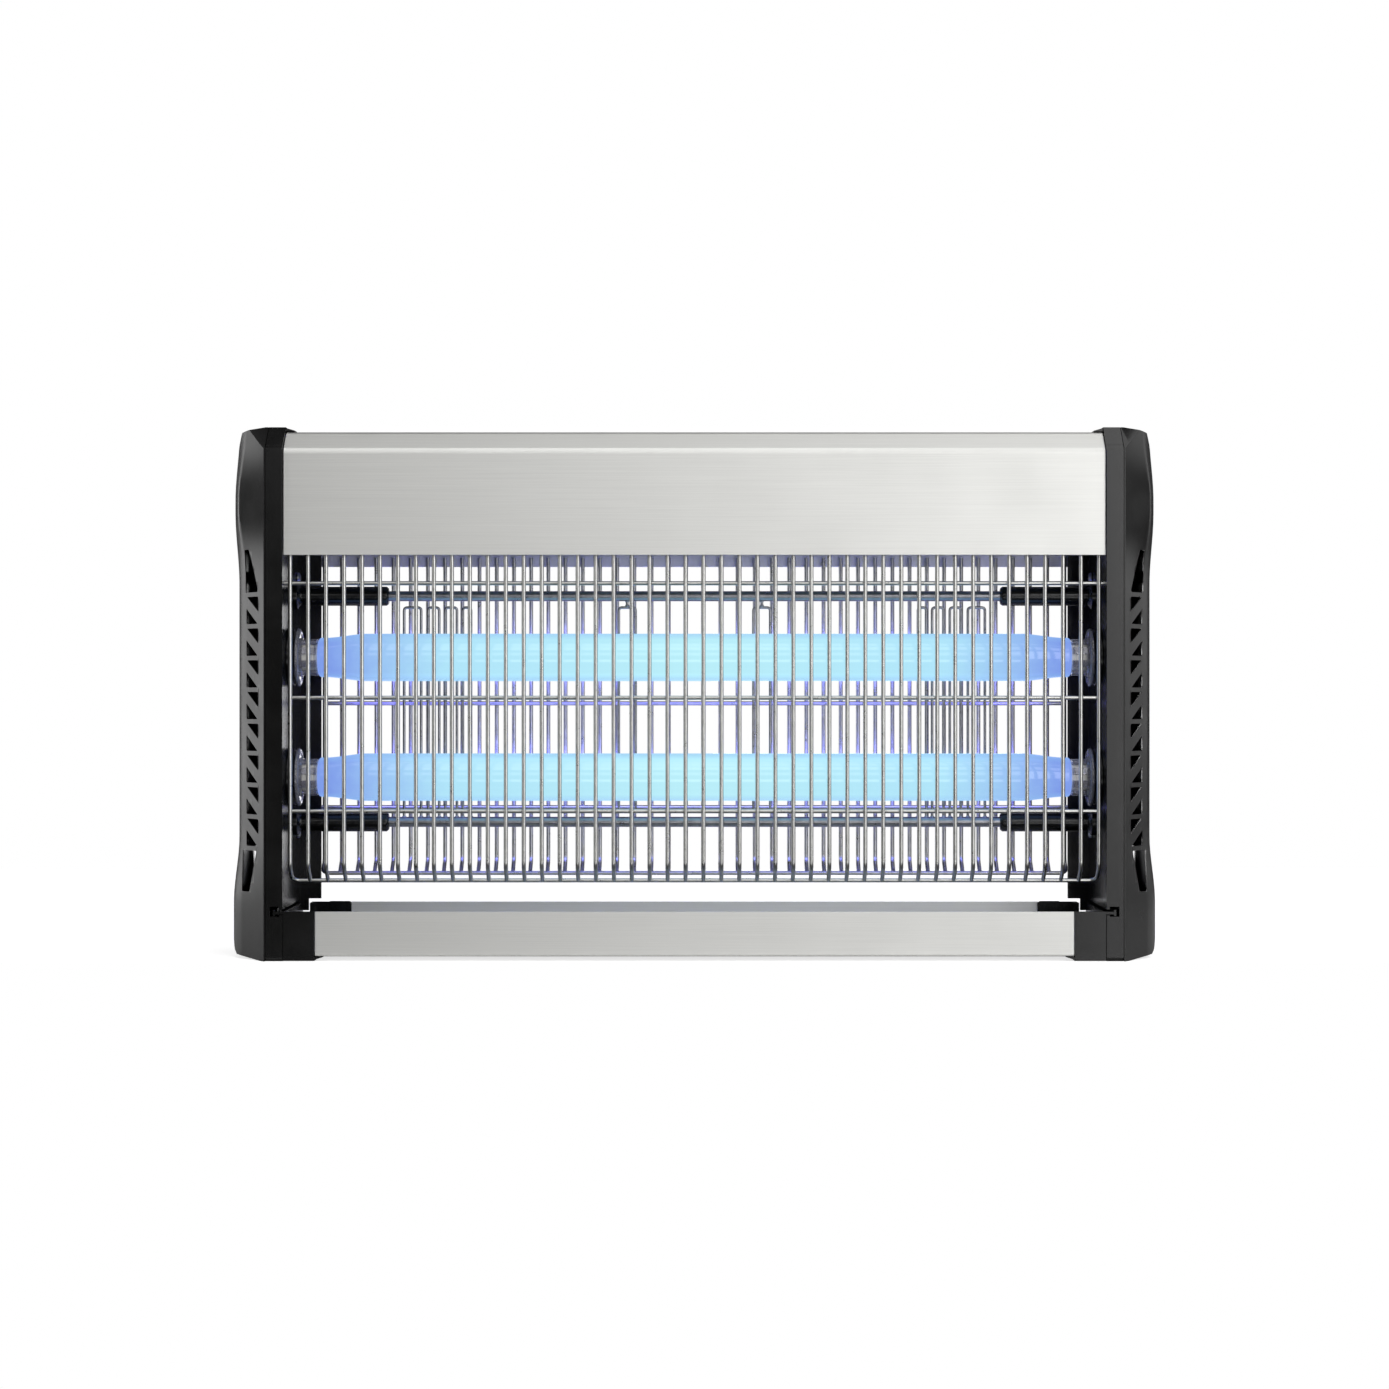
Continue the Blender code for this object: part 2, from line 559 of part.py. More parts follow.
def make_lamp(label, parent):
    """Glass tube with a tapered shoulder at each end, open where the caps plug it."""
    bm = bmesh.new()
    half = [(LAMP_END_X - inset, radius) for inset, radius in SHOULDER]
    outer = half + [(-x, r) for x, r in reversed(half)]
    inner = [(x, r - GLASS_WALL) for x, r in reversed(outer)]
    turn(bm, outer + inner, 18, closed=True)
    add_object(f"lamp_{label}_glass", bm, LAMP_GLASS, parent=parent, smooth=True)


def make_lamp_cap(name, side, parent):
    """End cap with its two contact pins."""
    bm = bmesh.new()
    x0, x1 = CAP_X
    turn(bm, [(x0, 0), (x0, CAP_R - EDGE), (x0 + EDGE, CAP_R), (x1, CAP_R), (x1, 0)], 12)
    if side < 0:
        bmesh.ops.scale(bm, vec=(-1, 1, 1), verts=bm.verts)
    cap = add_object(name, bm, WHITE_CERAMIC, parent=parent, smooth=True)
    pins = bmesh.new()
    for offset in (-PIN_OFFSET, PIN_OFFSET):
        cylinder(pins, (0, offset), PIN_R, side * (x1 - 0.002), side * PIN_TIP_X, 6)
    combine(cap, pins, "UNION", "pins")


def make_lock_ring(name, side, parent):
    """Turning collar round a cap: a neck and a wide clear flange."""
    neck, flange, end = RING_X
    edge = EDGE * 0.8
    profile = [(neck, RING_BORE_R), (neck, NECK_R), (flange, NECK_R), (flange, RING_R - edge),
               (flange + edge, RING_R), (end, RING_R), (end, RING_BORE_R)]
    bm = bmesh.new()
    turn(bm, profile, 16, closed=True)
    if side < 0:
        bmesh.ops.scale(bm, vec=(-1, 1, 1), verts=bm.verts)
    add_object(name, bm, CLEAR_PLASTIC, parent=parent, smooth=True)


def make_lamp_holder(name, side, height):
    """Holder base on the wall, with a recess for the pins."""
    x0, x1 = HOLDER_X
    bm = bmesh.new()
    turn(bm, [(x0, RING_BORE_R), (x0, HOLDER_R - EDGE), (x0 + EDGE, HOLDER_R), (x1, HOLDER_R),
              (x1, RING_BORE_R)], 16, closed=True)
    if side < 0:
        bmesh.ops.scale(bm, vec=(-1, 1, 1), verts=bm.verts)
    add_object(name, bm, BLACK_PLASTIC, location=(0, LAMP_Y, height), smooth=True)


def make_lamps():
    for label, height in LAMP_HEIGHTS.items():
        axis = axis_empty(f"lamp_{label}_axis", (0, LAMP_Y, height))
        make_lamp(label, axis)
        for word, side in (("left", -1), ("right", 1)):
            make_lamp_cap(f"lamp_{label}_cap_{word}", side, axis)
            make_lock_ring(f"lamp_{label}_lock_ring_{word}", side, axis)
            make_lamp_holder(f"lamp_{label}_holder_{word}", side, height)


# ---- high-voltage grid ----

FREE_GAP = 0.0063           # a wire's free end stops this far from the other rod's axis
HAIRPINS = ((0.1607, 0.1513), (0.1474, 0.1413), (0.1379, 0.1315), (0.1283, 0.1237))
LOOP = (0.0419, 0.0326)
COMB_PITCH = 0.00995
COMB_STEPS = (0, 1, 2, 5, 6, 7, 8, 9, 10, 11)
BEND = 0.0016


def hairpin(x0, x1, foot, top):
    """Inverted U with small round corners, both feet at one height."""
    sign = 1 if x1 > x0 else -1
    mid = BEND * 0.3
    return [(x0, GRID_Y, foot), (x0, GRID_Y, top - BEND), (x0 + sign * mid, GRID_Y, top - mid),
            (x0 + sign * BEND, GRID_Y, top), (x1 - sign * BEND, GRID_Y, top),
            (x1 - sign * mid, GRID_Y, top - mid), (x1, GRID_Y, top - BEND), (x1, GRID_Y, foot)]


def closed_loop(x0, x1, low, top):
    """Narrow closed loop with small round corners."""
    upper = hairpin(x0, x1, low + BEND, top)[1:-1]
    lower = [(x, y, low + top - z) for x, y, z in reversed(upper)]
    return upper + lower


def rod(label):
    bm = bmesh.new()
    reach = WALL_X - 0.002
    cylinder(bm, (GRID_Y, ROD_Z[label]), ROD_R, -reach, reach, 8)
    return bm


def make_grid():
    """Two rods with interleaved wires that never touch."""
    top_free = ROD_Z["upper"] - FREE_GAP
    low_free = ROD_Z["lower"] + FREE_GAP
    upper_wires, lower_wires, loops = [], [], []
    for side in (-1, 1):
        for x0, x1 in HAIRPINS:
            lower_wires.append(hairpin(side * x0, side * x1, ROD_Z["lower"], top_free))
        loops.append(closed_loop(side * LOOP[0], side * LOOP[1], low_free, top_free))
        stem = side * (LOOP[0] + LOOP[1]) / 2
        upper_wires.append([(stem, GRID_Y, ROD_Z["upper"]), (stem, GRID_Y, top_free)])
        for step in COMB_STEPS:
            x = side * COMB_PITCH * (step + 0.5)
            if (step % 2 == 0) == (side > 0):
                upper_wires.append([(x, GRID_Y, ROD_Z["upper"]), (x, GRID_Y, low_free)])
            else:
                lower_wires.append([(x, GRID_Y, ROD_Z["lower"]), (x, GRID_Y, top_free)])
    upper = add_object("hv_upper_electrode", rod("upper"), STEEL_WIRE)
    lower = add_object("hv_lower_electrode", rod("lower"), STEEL_WIRE)
    combine(upper, wires(upper_wires, GRID_WIRE_R), "UNION", "wires")
    combine(upper, wires([], GRID_WIRE_R, closed_paths=loops), "UNION", "loops")
    combine(lower, wires(lower_wires, GRID_WIRE_R), "UNION", "wires")


def make_sleeve(name, side, height):
    """Insulating sleeve over a rod end, with a seating flange on the wall."""
    start, wall = SLEEVE_TIP_X, WALL_X - GAP
    bore = ROD_R + GAP
    tip_r, outer_r, flange_r = SLEEVE_R
    seat = wall - SLEEVE_FLANGE
    profile = [(start, bore), (start, tip_r), (start + SLEEVE_TAPER, outer_r), (seat, outer_r),
               (seat, flange_r), (wall, flange_r), (wall, bore)]
    bm = bmesh.new()
    turn(bm, profile, 12, closed=True)
    if side < 0:
        bmesh.ops.scale(bm, vec=(-1, 1, 1), verts=bm.verts)
    add_object(name, bm, BLACK_PLASTIC, location=(0, GRID_Y, height), smooth=True)


# ---- guards ----

def upright(x, front, bottom, origin):
    """One upright wire that leans inward at its foot. front is -1 or 1."""
    y = front * GUARD_Y
    foot = front * (GUARD_Y - GUARD_LEAN)
    path = [(x, y, GUARD_TOP), (x, y, GUARD_BEND_Z), (x, foot, bottom)]
    return [tuple(Vector(point) - origin) for point in path]


def guard_wires(front, pairs, bottom, cross, long_cross, origin):
    """Upright wires and cross wires of one guard, as two lists of paths."""
    uprights = []
    for step in range(pairs):
        x = WIRE_PITCH * (step + 0.5)
        uprights += [upright(-x, front, bottom, origin), upright(x, front, bottom, origin)]
    edge = WIRE_PITCH * (pairs - 0.5)
    crossing_y = front * (GUARD_Y - CROSS_OFFSET)
    crossings = []
    for z in cross:
        reach = PIVOT_X if z in long_cross else edge + 0.0002
        crossings.append([(-reach, crossing_y, z), (reach, crossing_y, z)])
    foot_y = front * (GUARD_Y - GUARD_LEAN)
    crossings.append([(-edge, foot_y, bottom), (edge, foot_y, bottom)])
    return uprights, [[tuple(Vector(p) - origin) for p in path] for path in crossings]


def make_guard(name, paths, parent=None):
    uprights, crossings = paths
    guard = add_object(name, wires(uprights, GUARD_WIRE_R), STEEL_WIRE, parent=parent)
    combine(guard, wires(crossings, GUARD_WIRE_R), "UNION", "cross_wires")


def make_guards():
    pivot = Vector((0, CROSS_OFFSET - GUARD_Y, FRONT_CROSS[0]))
    axis = axis_empty("front_guard_axis", pivot)
    front = guard_wires(-1, GUARD_PAIRS["front"], FRONT_BOTTOM, FRONT_CROSS, FRONT_CROSS[:1], pivot)
    make_guard("front_guard", front, axis)
    long_rear = (REAR_CROSS[0], REAR_CROSS[2])
    rear = guard_wires(1, GUARD_PAIRS["rear"], REAR_BOTTOM, REAR_CROSS, long_rear, Vector())
    make_guard("rear_guard", rear)


# ---- collecting tray ----

def make_tray_pan(parent):
    """Folded aluminium channel: front face, floor and rear wall."""
    t = TRAY_SHEET
    top = TRAY_TOP
    outline = [(-TRAY_FRONT, top), (-TRAY_FRONT, TRAY_LOW), (TRAY_REAR, TRAY_LOW), (TRAY_REAR, top),
               (TRAY_REAR - t, top), (TRAY_REAR - t, TRAY_LOW + t), (-TRAY_FRONT + t, TRAY_LOW + t),
               (-TRAY_FRONT + t, top)]
    bm = bmesh.new()
    prism(bm, outline, "X", -TRAY_PAN_X, TRAY_PAN_X)
    add_object("tray_pan", bm, ALUMINIUM, parent=parent)


TRAY_NARROW_X = 0.2160           # beside the rear flange of the end frame the tray end is narrower
TRAY_TURN_Y = 0.0295             # where it turns in
TRAY_END_WALL = 0.0025
TRAY_CHEEK = 0.0012              # outer wall of the tray end, which carries the rail
TRAY_STEP_Z = 0.0200             # the wall where the tray end narrows is lower than the rest
TRAY_FOOT = (0.0043, 0.0005)     # wedge under the pan: its reach and the height of its outer edge
TAB_X = 0.1936                   # tip of the tab that backs the pan's rear wall
RAIL_SECTION = (0.0244, 0.0253, 0.0267, 0.0277)   # Z of the flange's foot, the web and the flange's head


def make_tray_end(name, side, parent):
    """Moulded end of the tray: a closed cheek, a front pillar and the hanging rail."""
    bm = bmesh.new()
    inner = TRAY_PAN_X + GAP
    wide = WALL_X - GAP
    front, rear = -HALF_DEPTH + 0.0002, TRAY_REAR + 0.0004
    outline = [(side * inner, front), (side * wide, front), (side * wide, TRAY_TURN_Y),
               (side * TRAY_NARROW_X, TRAY_TURN_Y), (side * TRAY_NARROW_X, rear), (side * inner, rear)]
    prism(bm, outline, "Z", GAP, TRAY_TOP)
    end = add_object(name, bm, BLACK_PLASTIC, parent=parent)

    well = bmesh.new()
    floor, above, cheek = TRAY_LOW + TRAY_SHEET, TRAY_TOP + OVERSHOOT, wide - TRAY_CHEEK
    box(well, (side * (inner - OVERSHOOT), side * (TRAY_NARROW_X - TRAY_END_WALL)),
        (front + TRAY_END_WALL, rear - TRAY_END_WALL), (floor, above))
    combine(end, well, "DIFFERENCE", "well")
    pocket = bmesh.new()
    box(pocket, (side * (inner + OVERSHOOT), side * cheek),
        (front + TRAY_END_WALL, TRAY_TURN_Y - TRAY_END_WALL), (floor, above))
    combine(end, pocket, "DIFFERENCE", "pocket")
    notch = bmesh.new()
    box(notch, (side * TRAY_NARROW_X, side * cheek), (0, TRAY_TURN_Y + OVERSHOOT), (TRAY_STEP_Z, above))
    combine(end, notch, "DIFFERENCE", "notch")
    wedge = bmesh.new()
    reach, edge = TRAY_FOOT
    outline = [(side * (inner + OVERSHOOT), edge), (side * (inner + OVERSHOOT), TRAY_LOW - GAP),
               (side * (TRAY_PAN_X - reach), TRAY_LOW - GAP)]
    prism(wedge, outline, "Y", front + 0.0005, rear - 0.0005)
    combine(end, wedge, "UNION", "wedge")
    rail = bmesh.new()
    root = side * (wide - TRAY_CHEEK + 0.0002)
    web, tip = side * (GROOVE[1] - 0.0027), side * (GROOVE[1] - 0.0015)
    foot, low, high, head = RAIL_SECTION
    outline = [(root, low), (web, low), (web, foot), (tip, foot), (tip, head), (web, head), (web, high),
               (root, high)]
    prism(rail, outline, "Y", front + 0.0008, TRAY_TURN_Y)
    combine(end, rail, "UNION", "rail")
    tab = bmesh.new()
    box(tab, (side * TAB_X, side * (inner + OVERSHOOT)), (TRAY_REAR - 0.0030, TRAY_REAR - TRAY_SHEET - GAP),
        (TRAY_LOW + TRAY_SHEET + GAP, TRAY_TOP + 0.0004))
    combine(end, tab, "UNION", "tab")


def make_tray():
    axis = axis_empty("tray_axis", (0, 0, 0))
    make_tray_pan(axis)
    make_tray_end("tray_end_left", -1, axis)
    make_tray_end("tray_end_right", 1, axis)


for word, sign in (("left", -1), ("right", 1)):
    make_end_frame(f"end_frame_{word}", sign)
    make_end_cover(f"end_cover_{word}", sign)
    make_screws(word, sign)
    for level, rod_height in ROD_Z.items():
        make_sleeve(f"hv_{level}_sleeve_{word}", sign, rod_height)
make_housing()
make_gland()
make_chassis()
for level, middle_x in BALLAST_PLACES.items():
    make_ballast(f"ballast_{level}_lamp", middle_x)
make_transformer()
make_terminal_block()
make_lamps()
make_grid()
make_guards()
make_tray()
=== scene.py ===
import json
import math

import bmesh
import bpy
from mathutils import Matrix, Vector

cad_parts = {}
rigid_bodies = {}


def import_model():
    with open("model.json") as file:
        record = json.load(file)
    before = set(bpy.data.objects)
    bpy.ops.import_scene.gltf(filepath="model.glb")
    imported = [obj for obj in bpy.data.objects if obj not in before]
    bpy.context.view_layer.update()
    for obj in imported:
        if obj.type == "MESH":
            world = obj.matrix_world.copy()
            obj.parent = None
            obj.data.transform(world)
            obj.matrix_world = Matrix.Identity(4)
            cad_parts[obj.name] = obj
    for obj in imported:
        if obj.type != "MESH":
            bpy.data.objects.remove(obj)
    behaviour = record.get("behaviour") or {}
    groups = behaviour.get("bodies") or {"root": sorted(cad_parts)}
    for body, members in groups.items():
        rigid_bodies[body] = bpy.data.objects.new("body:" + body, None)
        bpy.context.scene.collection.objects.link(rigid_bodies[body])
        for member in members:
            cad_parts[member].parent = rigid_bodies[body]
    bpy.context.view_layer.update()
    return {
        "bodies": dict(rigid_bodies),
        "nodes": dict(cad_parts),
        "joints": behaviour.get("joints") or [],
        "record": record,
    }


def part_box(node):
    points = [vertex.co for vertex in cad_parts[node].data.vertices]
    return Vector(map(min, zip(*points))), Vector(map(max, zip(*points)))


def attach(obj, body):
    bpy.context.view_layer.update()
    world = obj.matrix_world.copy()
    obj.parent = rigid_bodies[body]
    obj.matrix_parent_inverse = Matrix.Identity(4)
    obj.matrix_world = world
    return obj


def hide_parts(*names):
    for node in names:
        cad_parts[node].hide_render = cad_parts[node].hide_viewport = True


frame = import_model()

mm = 0.001
print("frame loaded:", len(frame["nodes"]), "nodes")

sides = {"left": -1, "right": 1}
lampLevels = ("upper", "lower")


def smoothStep(start, end, value):
    part = min(max((value - start) / (end - start), 0), 1)
    return part * part * (3 - 2 * part)


def nodeCentre(name):
    low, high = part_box(name)
    return (low + high) / 2


def toLinear(hexColour):
    values = [int(hexColour[i:i + 2], 16) / 255 for i in (1, 3, 5)]
    return [v / 12.92 if v <= 0.04045 else ((v + 0.055) / 1.055) ** 2.4 for v in values] + [1]


def addNode(tree, kind, settings={}, values={}, links={}):
    node = tree.nodes.new(kind)
    for name, value in settings.items():
        setattr(node, name, value)
    for socket, value in values.items():
        node.inputs[socket].default_value = value
    for socket, source in links.items():
        tree.links.new(source, node.inputs[socket])
    return node


def newMaterial(name, values):
    material = bpy.data.materials.new(name)
    material.use_nodes = True
    shader = material.node_tree.nodes["Principled BSDF"]
    for socket, value in values.items():
        shader.inputs[socket].default_value = value
    return material, material.node_tree, shader


def dress(shader, colour, roughness, normal):
    for socket, source in {"Base Color": colour, "Roughness": roughness, "Normal": normal}.items():
        shader.id_data.links.new(source, shader.inputs[socket])


def addNoise(tree, size, detail=3, roughness=0.5, stretch=(1, 1, 1),
             shift=0):  # size of a feature in metres
    place = addNode(tree, "ShaderNodeTexCoord")
    mapped = addNode(tree, "ShaderNodeMapping", values={"Scale": stretch, "Location": (shift,) * 3},
                     links={"Vector": place.outputs["Object"]})
    return addNode(tree, "ShaderNodeTexNoise", values={"Scale": 1 / size, "Detail": detail,
                                                       "Roughness": roughness},
                   links={"Vector": mapped.outputs["Vector"]}).outputs["Fac"]


def addRange(tree, source, low, high, fromLow=0.3, fromHigh=0.7):
    return addNode(tree, "ShaderNodeMapRange",
                   values={"From Min": fromLow, "From Max": fromHigh, "To Min": low, "To Max": high},
                   links={"Value": source}).outputs["Result"]


def addRamp(tree, source, stops):
    node = addNode(tree, "ShaderNodeValToRGB", links={"Fac": source})
    ramp = node.color_ramp
    while len(ramp.elements) < len(stops):
        ramp.elements.new(0.5)
    for element, (position, colour) in zip(ramp.elements, stops):
        element.position = position
        element.color = toLinear(colour)
    return node.outputs["Color"]


def addBump(tree, height, distance):
    return addNode(tree, "ShaderNodeBump", values={"Distance": distance, "Strength": 1.0},
                   links={"Height": height}).outputs["Normal"]


def addMix(tree, factor, colour, other):
    return addNode(tree, "ShaderNodeMix", {"data_type": "RGBA"}, {"B": toLinear(other)},
                   {"Factor": factor, "A": colour}).outputs["Result"]


def addSize(tree, source):  # how far from zero, on either side
    return addNode(tree, "ShaderNodeMath", {"operation": "ABSOLUTE"}, links={0: source}).outputs[0]


# rolled aluminium sheet, brushed along its length and clear anodised: long faint lines, a soft sheen
brushedSheet = {"colours": ("#e2e2df", "#e9e9e6"), "roughness": (0.50, 0.56), "lineWidth": 0.45 * mm,
                "lineLength": 60 * mm, "smudge": 35 * mm, "smudgeShare": 0.35, "lineDepth": 0.003 * mm}


def makeBrushedAluminium():
    material, tree, shader = newMaterial("anodisedAluminiumBrushed", {"Metallic": 1.0})
    width, length = brushedSheet["lineWidth"], brushedSheet["lineLength"]
    # real brush lines are 0.05 mm wide; they are drawn coarser, so that they show
    lines = addNoise(tree, width, 4, 0.6, stretch=(width / length, 1, 1))
    smudges = addNoise(tree, brushedSheet["smudge"])
    both = addNode(tree, "ShaderNodeMath", {"operation": "MULTIPLY_ADD"}, {1: brushedSheet["smudgeShare"]},
                   {0: lines, 2: smudges}).outputs[0]
    dress(shader, addRamp(tree, lines, tuple(zip((0.3, 0.7), brushedSheet["colours"]))),
          addRange(tree, both, *brushedSheet["roughness"], 0.4, 0.95),
          addBump(tree, lines, brushedSheet["lineDepth"]))
    return material


# black and grey ABS, moulded in a spark-eroded tool: fine even grain, satin with slightly polished patches
# the grain is about 0.1 mm on the tool and drawn coarser here
mouldedGrain = {"size": 0.6 * mm, "depth": 0.012 * mm, "patch": 22 * mm, "dust": 2.4 * mm,
                "dustColour": "#6f6d68",
                "dustShare": 0.06}


def makeMouldedPlastic(name, colours, roughness):
    material, tree, shader = newMaterial(name, {"IOR": 1.5})
    fine = addNoise(tree, mouldedGrain["size"], 2, 0.6)
    patches = addNoise(tree, mouldedGrain["patch"], 4, 0.55, shift=3)
    dust = addNoise(tree, mouldedGrain["dust"], 5, 0.7, shift=7)
    specks = addRange(tree, dust, 0, mouldedGrain["dustShare"], 0.62, 0.75)
    base = addRamp(tree, patches, tuple(zip((0.25, 0.75), colours)))
    dress(shader, addMix(tree, specks, base, mouldedGrain["dustColour"]),
          addRange(tree, patches, *roughness),
          addBump(tree, fine, mouldedGrain["depth"]))
    return material


# drawn steel wire, nickel-chrome plated: bright, with faint draw marks along it and a few dull spots
platedWire = {"drawMark": 0.3 * mm, "markDepth": 0.002 * mm, "spot": 6 * mm, "roughness": (0.26, 0.34)}


def makePlatedWire(name, colours):
    material, tree, shader = newMaterial(name, {"Metallic": 1.0})
    marks = addNoise(tree, platedWire["drawMark"], 2, stretch=(1, 1, 0.04))
    spots = addNoise(tree, platedWire["spot"], 5, 0.65)
    dress(shader, addRamp(tree, spots, tuple(zip((0.3, 0.65), colours))),
          addRange(tree, spots, *platedWire["roughness"]), addBump(tree, marks, platedWire["markDepth"]))
    return material


# galvanised and passivated sheet steel: zinc crystals some millimetres across, dull grey
zincSheet = {"spangle": 5 * mm, "colours": ("#8e9092", "#b4b6b6"), "roughness": (0.32, 0.5),
             "grain": 0.5 * mm,
             "depth": 0.006 * mm}


def makeZincSteel():
    material, tree, shader = newMaterial("galvanisedSteel", {"Metallic": 1.0})
    place = addNode(tree, "ShaderNodeTexCoord")
    crystals = addNode(tree, "ShaderNodeTexVoronoi", {"feature": "SMOOTH_F1"},
                       {"Scale": 1 / zincSheet["spangle"], "Smoothness": 0.2},
                       {"Vector": place.outputs["Object"]})
    tone = addNode(tree, "ShaderNodeSeparateColor",
                   links={"Color": crystals.outputs["Color"]}).outputs["Red"]
    grain = addNoise(tree, zincSheet["grain"], 3, 0.6)
    dress(shader, addRamp(tree, tone, tuple(zip((0.1, 0.9), zincSheet["colours"]))),
          addRange(tree, tone, *zincSheet["roughness"], 0, 1), addBump(tree, grain, zincSheet["depth"]))
    return material


# T8 actinic tube, phosphor coated soda glass, lit: even cyan glow, violet-blue where the cathodes are
lampGlow = {"halfLength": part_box("lamp_upper_glass")[1].x, "strength": 1.0, "coat": 9 * mm,
            "rim": "#8fbdf0",
            "stops": ((0, "#b8ecf6"), (0.66, "#aee2f6"), (0.86, "#93b9ee"), (0.97, "#7d9ae6")),
            "unlit": ((0.3, "#2c3a46"), (0.7, "#35444f"))}


def makeLampGlass():
    material, tree, shader = newMaterial("phosphorCoatedGlass", {"Roughness": 0.12, "IOR": 1.52,
                                                                 "Emission Strength": lampGlow["strength"]})
    place = addNode(tree, "ShaderNodeTexCoord")
    axes = addNode(tree, "ShaderNodeSeparateXYZ", links={"Vector": place.outputs["Object"]})
    along = addRange(tree, addSize(tree, axes.outputs["X"]), 0, 1, 0, lampGlow["halfLength"])
    coat = addNoise(tree, lampGlow["coat"], 4, 0.6)
    wander = addRange(tree, coat, -0.02, 0.02)
    spot = addNode(tree, "ShaderNodeMath", {"operation": "ADD"}, links={0: along, 1: wander}).outputs[0]
    normal = addNode(tree, "ShaderNodeSeparateXYZ", links={"Vector": place.outputs["Normal"]})
    thin = addRange(tree, addSize(tree, normal.outputs["Z"]), 0, 0.55, 0.72, 1.0)
    edged = addMix(tree, thin, addRamp(tree, spot, lampGlow["stops"]), lampGlow["rim"])
    tree.links.new(edged, shader.inputs["Emission Color"])
    tree.links.new(addRamp(tree, coat, lampGlow["unlit"]), shader.inputs["Base Color"])
    return material


# tone and grain are (feature size, detail, roughness of the noise, stretch)
mottledFinishes = {
    "whiteCeramic": {  # glazed steatite and white thermoset: warm white, faintly mottled
        "values": {"IOR": 1.55}, "tone": (2 * mm, 5, 0.6), "colours": ("#dedbd2", "#f0eee8"),
        "roughness": (0.30, 0.45), "depth": 0.01 * mm},
    "smokyPolycarbonate": {  # the lock rings: clear, polished, faint flow marks
        "values": {"IOR": 1.58, "Transmission Weight": 0.75}, "tone": (3 * mm, 2, 0.5, (0.3, 1, 1)),
        "colours": ("#b9b8c6", "#d6d6e0"), "roughness": (0.06, 0.14), "depth": 0.02 * mm},
    "bakedEnamelGrey": {  # the ballast cans: light grey, slight orange peel
        "values": {"IOR": 1.5}, "tone": (18 * mm, 3, 0.5), "grain": (1.6 * mm, 2, 0.5),
        "colours": ("#c6c8c8", "#d4d6d5"), "roughness": (0.25, 0.4), "depth": 0.02 * mm},
    "polyesterWindingTape": {  # yellow tape over the copper windings: glossy, faint turns showing through
        "values": {"IOR": 1.6}, "tone": (0.8 * mm, 2, 0.5, (0.05, 0.05, 1)),
        "colours": ("#b8891f", "#e0b548"),
        "roughness": (0.18, 0.3), "depth": 0.05 * mm}}


def makeMottled(name):
    spec = mottledFinishes[name]
    material, tree, shader = newMaterial(name, spec["values"])
    tone = addNoise(tree, *spec["tone"])
    grain = addNoise(tree, *spec["grain"]) if "grain" in spec else tone
    dress(shader, addRamp(tree, tone, tuple(zip((0.3, 0.7), spec["colours"]))),
          addRange(tree, tone, *spec["roughness"]), addBump(tree, grain, spec["depth"]))
    return material


def makeLaminations():  # varnished silicon-steel stampings, seen as fine parallel lines 0.31 mm apart
    material, tree, shader = newMaterial("varnishedLaminations", {"Metallic": 0.7, "IOR": 1.5})
    place = addNode(tree, "ShaderNodeTexCoord")
    leaves = addNode(tree, "ShaderNodeTexWave", {"bands_direction": "Y"},
                     {"Scale": math.tau / 20 / (0.31416 * mm), "Distortion": 0.4, "Detail": 1},
                     {"Vector": place.outputs["Object"]}).outputs["Fac"]
    dress(shader, addRamp(tree, leaves, ((0.2, "#2f2925"), (0.8, "#6f6458"))),
          addRange(tree, leaves, 0.3, 0.5, 0, 1), addBump(tree, leaves, 0.05 * mm))
    return material


brushedAluminium = makeBrushedAluminium()
blackPlastic = makeMouldedPlastic("satinBlackAbs", ("#050505", "#0a0a0a"), (0.20, 0.27))
coverPlastic = makeMouldedPlastic("satinGraphiteAbs", ("#101010", "#181818"), (0.27, 0.36))
guardSteel = makePlatedWire("nickelPlatedWire", ("#b6b6b4", "#cbcbc8"))
gridSteel = makePlatedWire("stainlessGridWire", ("#8d8d92", "#acacb0"))
zincSteel = makeZincSteel()
lampGlass = makeLampGlass()
whiteCeramic, clearPlastic, paintedCan, windingTape = (makeMottled(name) for name in mottledFinishes)
laminations = makeLaminations()
print("materials made:", len(bpy.data.materials))


def placeObject(name, data):
    made = bpy.data.objects.new(name, data)
    bpy.context.scene.collection.objects.link(made)
    return made


def addObject(name, bm, material, closed=True):
    bmesh.ops.remove_doubles(bm, verts=bm.verts, dist=1e-7)
    if closed:
        bmesh.ops.recalc_face_normals(bm, faces=bm.faces)
    mesh = bpy.data.meshes.new(name)
    bm.to_mesh(mesh)
    bm.free()
    mesh.materials.append(material)
    return placeObject(name, mesh)


def applyModifiers(piece):
    state = bpy.context.evaluated_depsgraph_get()
    mesh = bpy.data.meshes.new_from_object(piece.evaluated_get(state), depsgraph=state)
    material = piece.data.materials[0]
    piece.modifiers.clear()
    piece.data = mesh
    if not mesh.materials:
        mesh.materials.append(material)


def addModifier(piece, kind, settings):
    modifier = piece.modifiers.new(kind.lower(), kind)
    for name, value in settings.items():
        setattr(modifier, name, value)
    applyModifiers(piece)


def mirrorTo(bm, side):  # pieces are drawn for the right end
    if side < 0:
        bmesh.ops.scale(bm, vec=(-1, 1, 1), verts=bm.verts)


def carve(piece, bm, operation="DIFFERENCE", side=1):  # cuts the tool out of the piece, or joins it on
    mirrorTo(bm, side)
    tool = addObject("tool", bm, piece.data.materials[0])
    addModifier(piece, "BOOLEAN", {"operation": operation, "solver": "EXACT", "object": tool})
    bpy.data.objects.remove(tool, do_unlink=True)


def roundEdges(piece, width, segments=2, angle=32):
    addModifier(piece, "BEVEL", {"width": width, "segments": segments, "limit_method": "ANGLE",
                                 "angle_limit": math.radians(angle), "profile": 0.5})


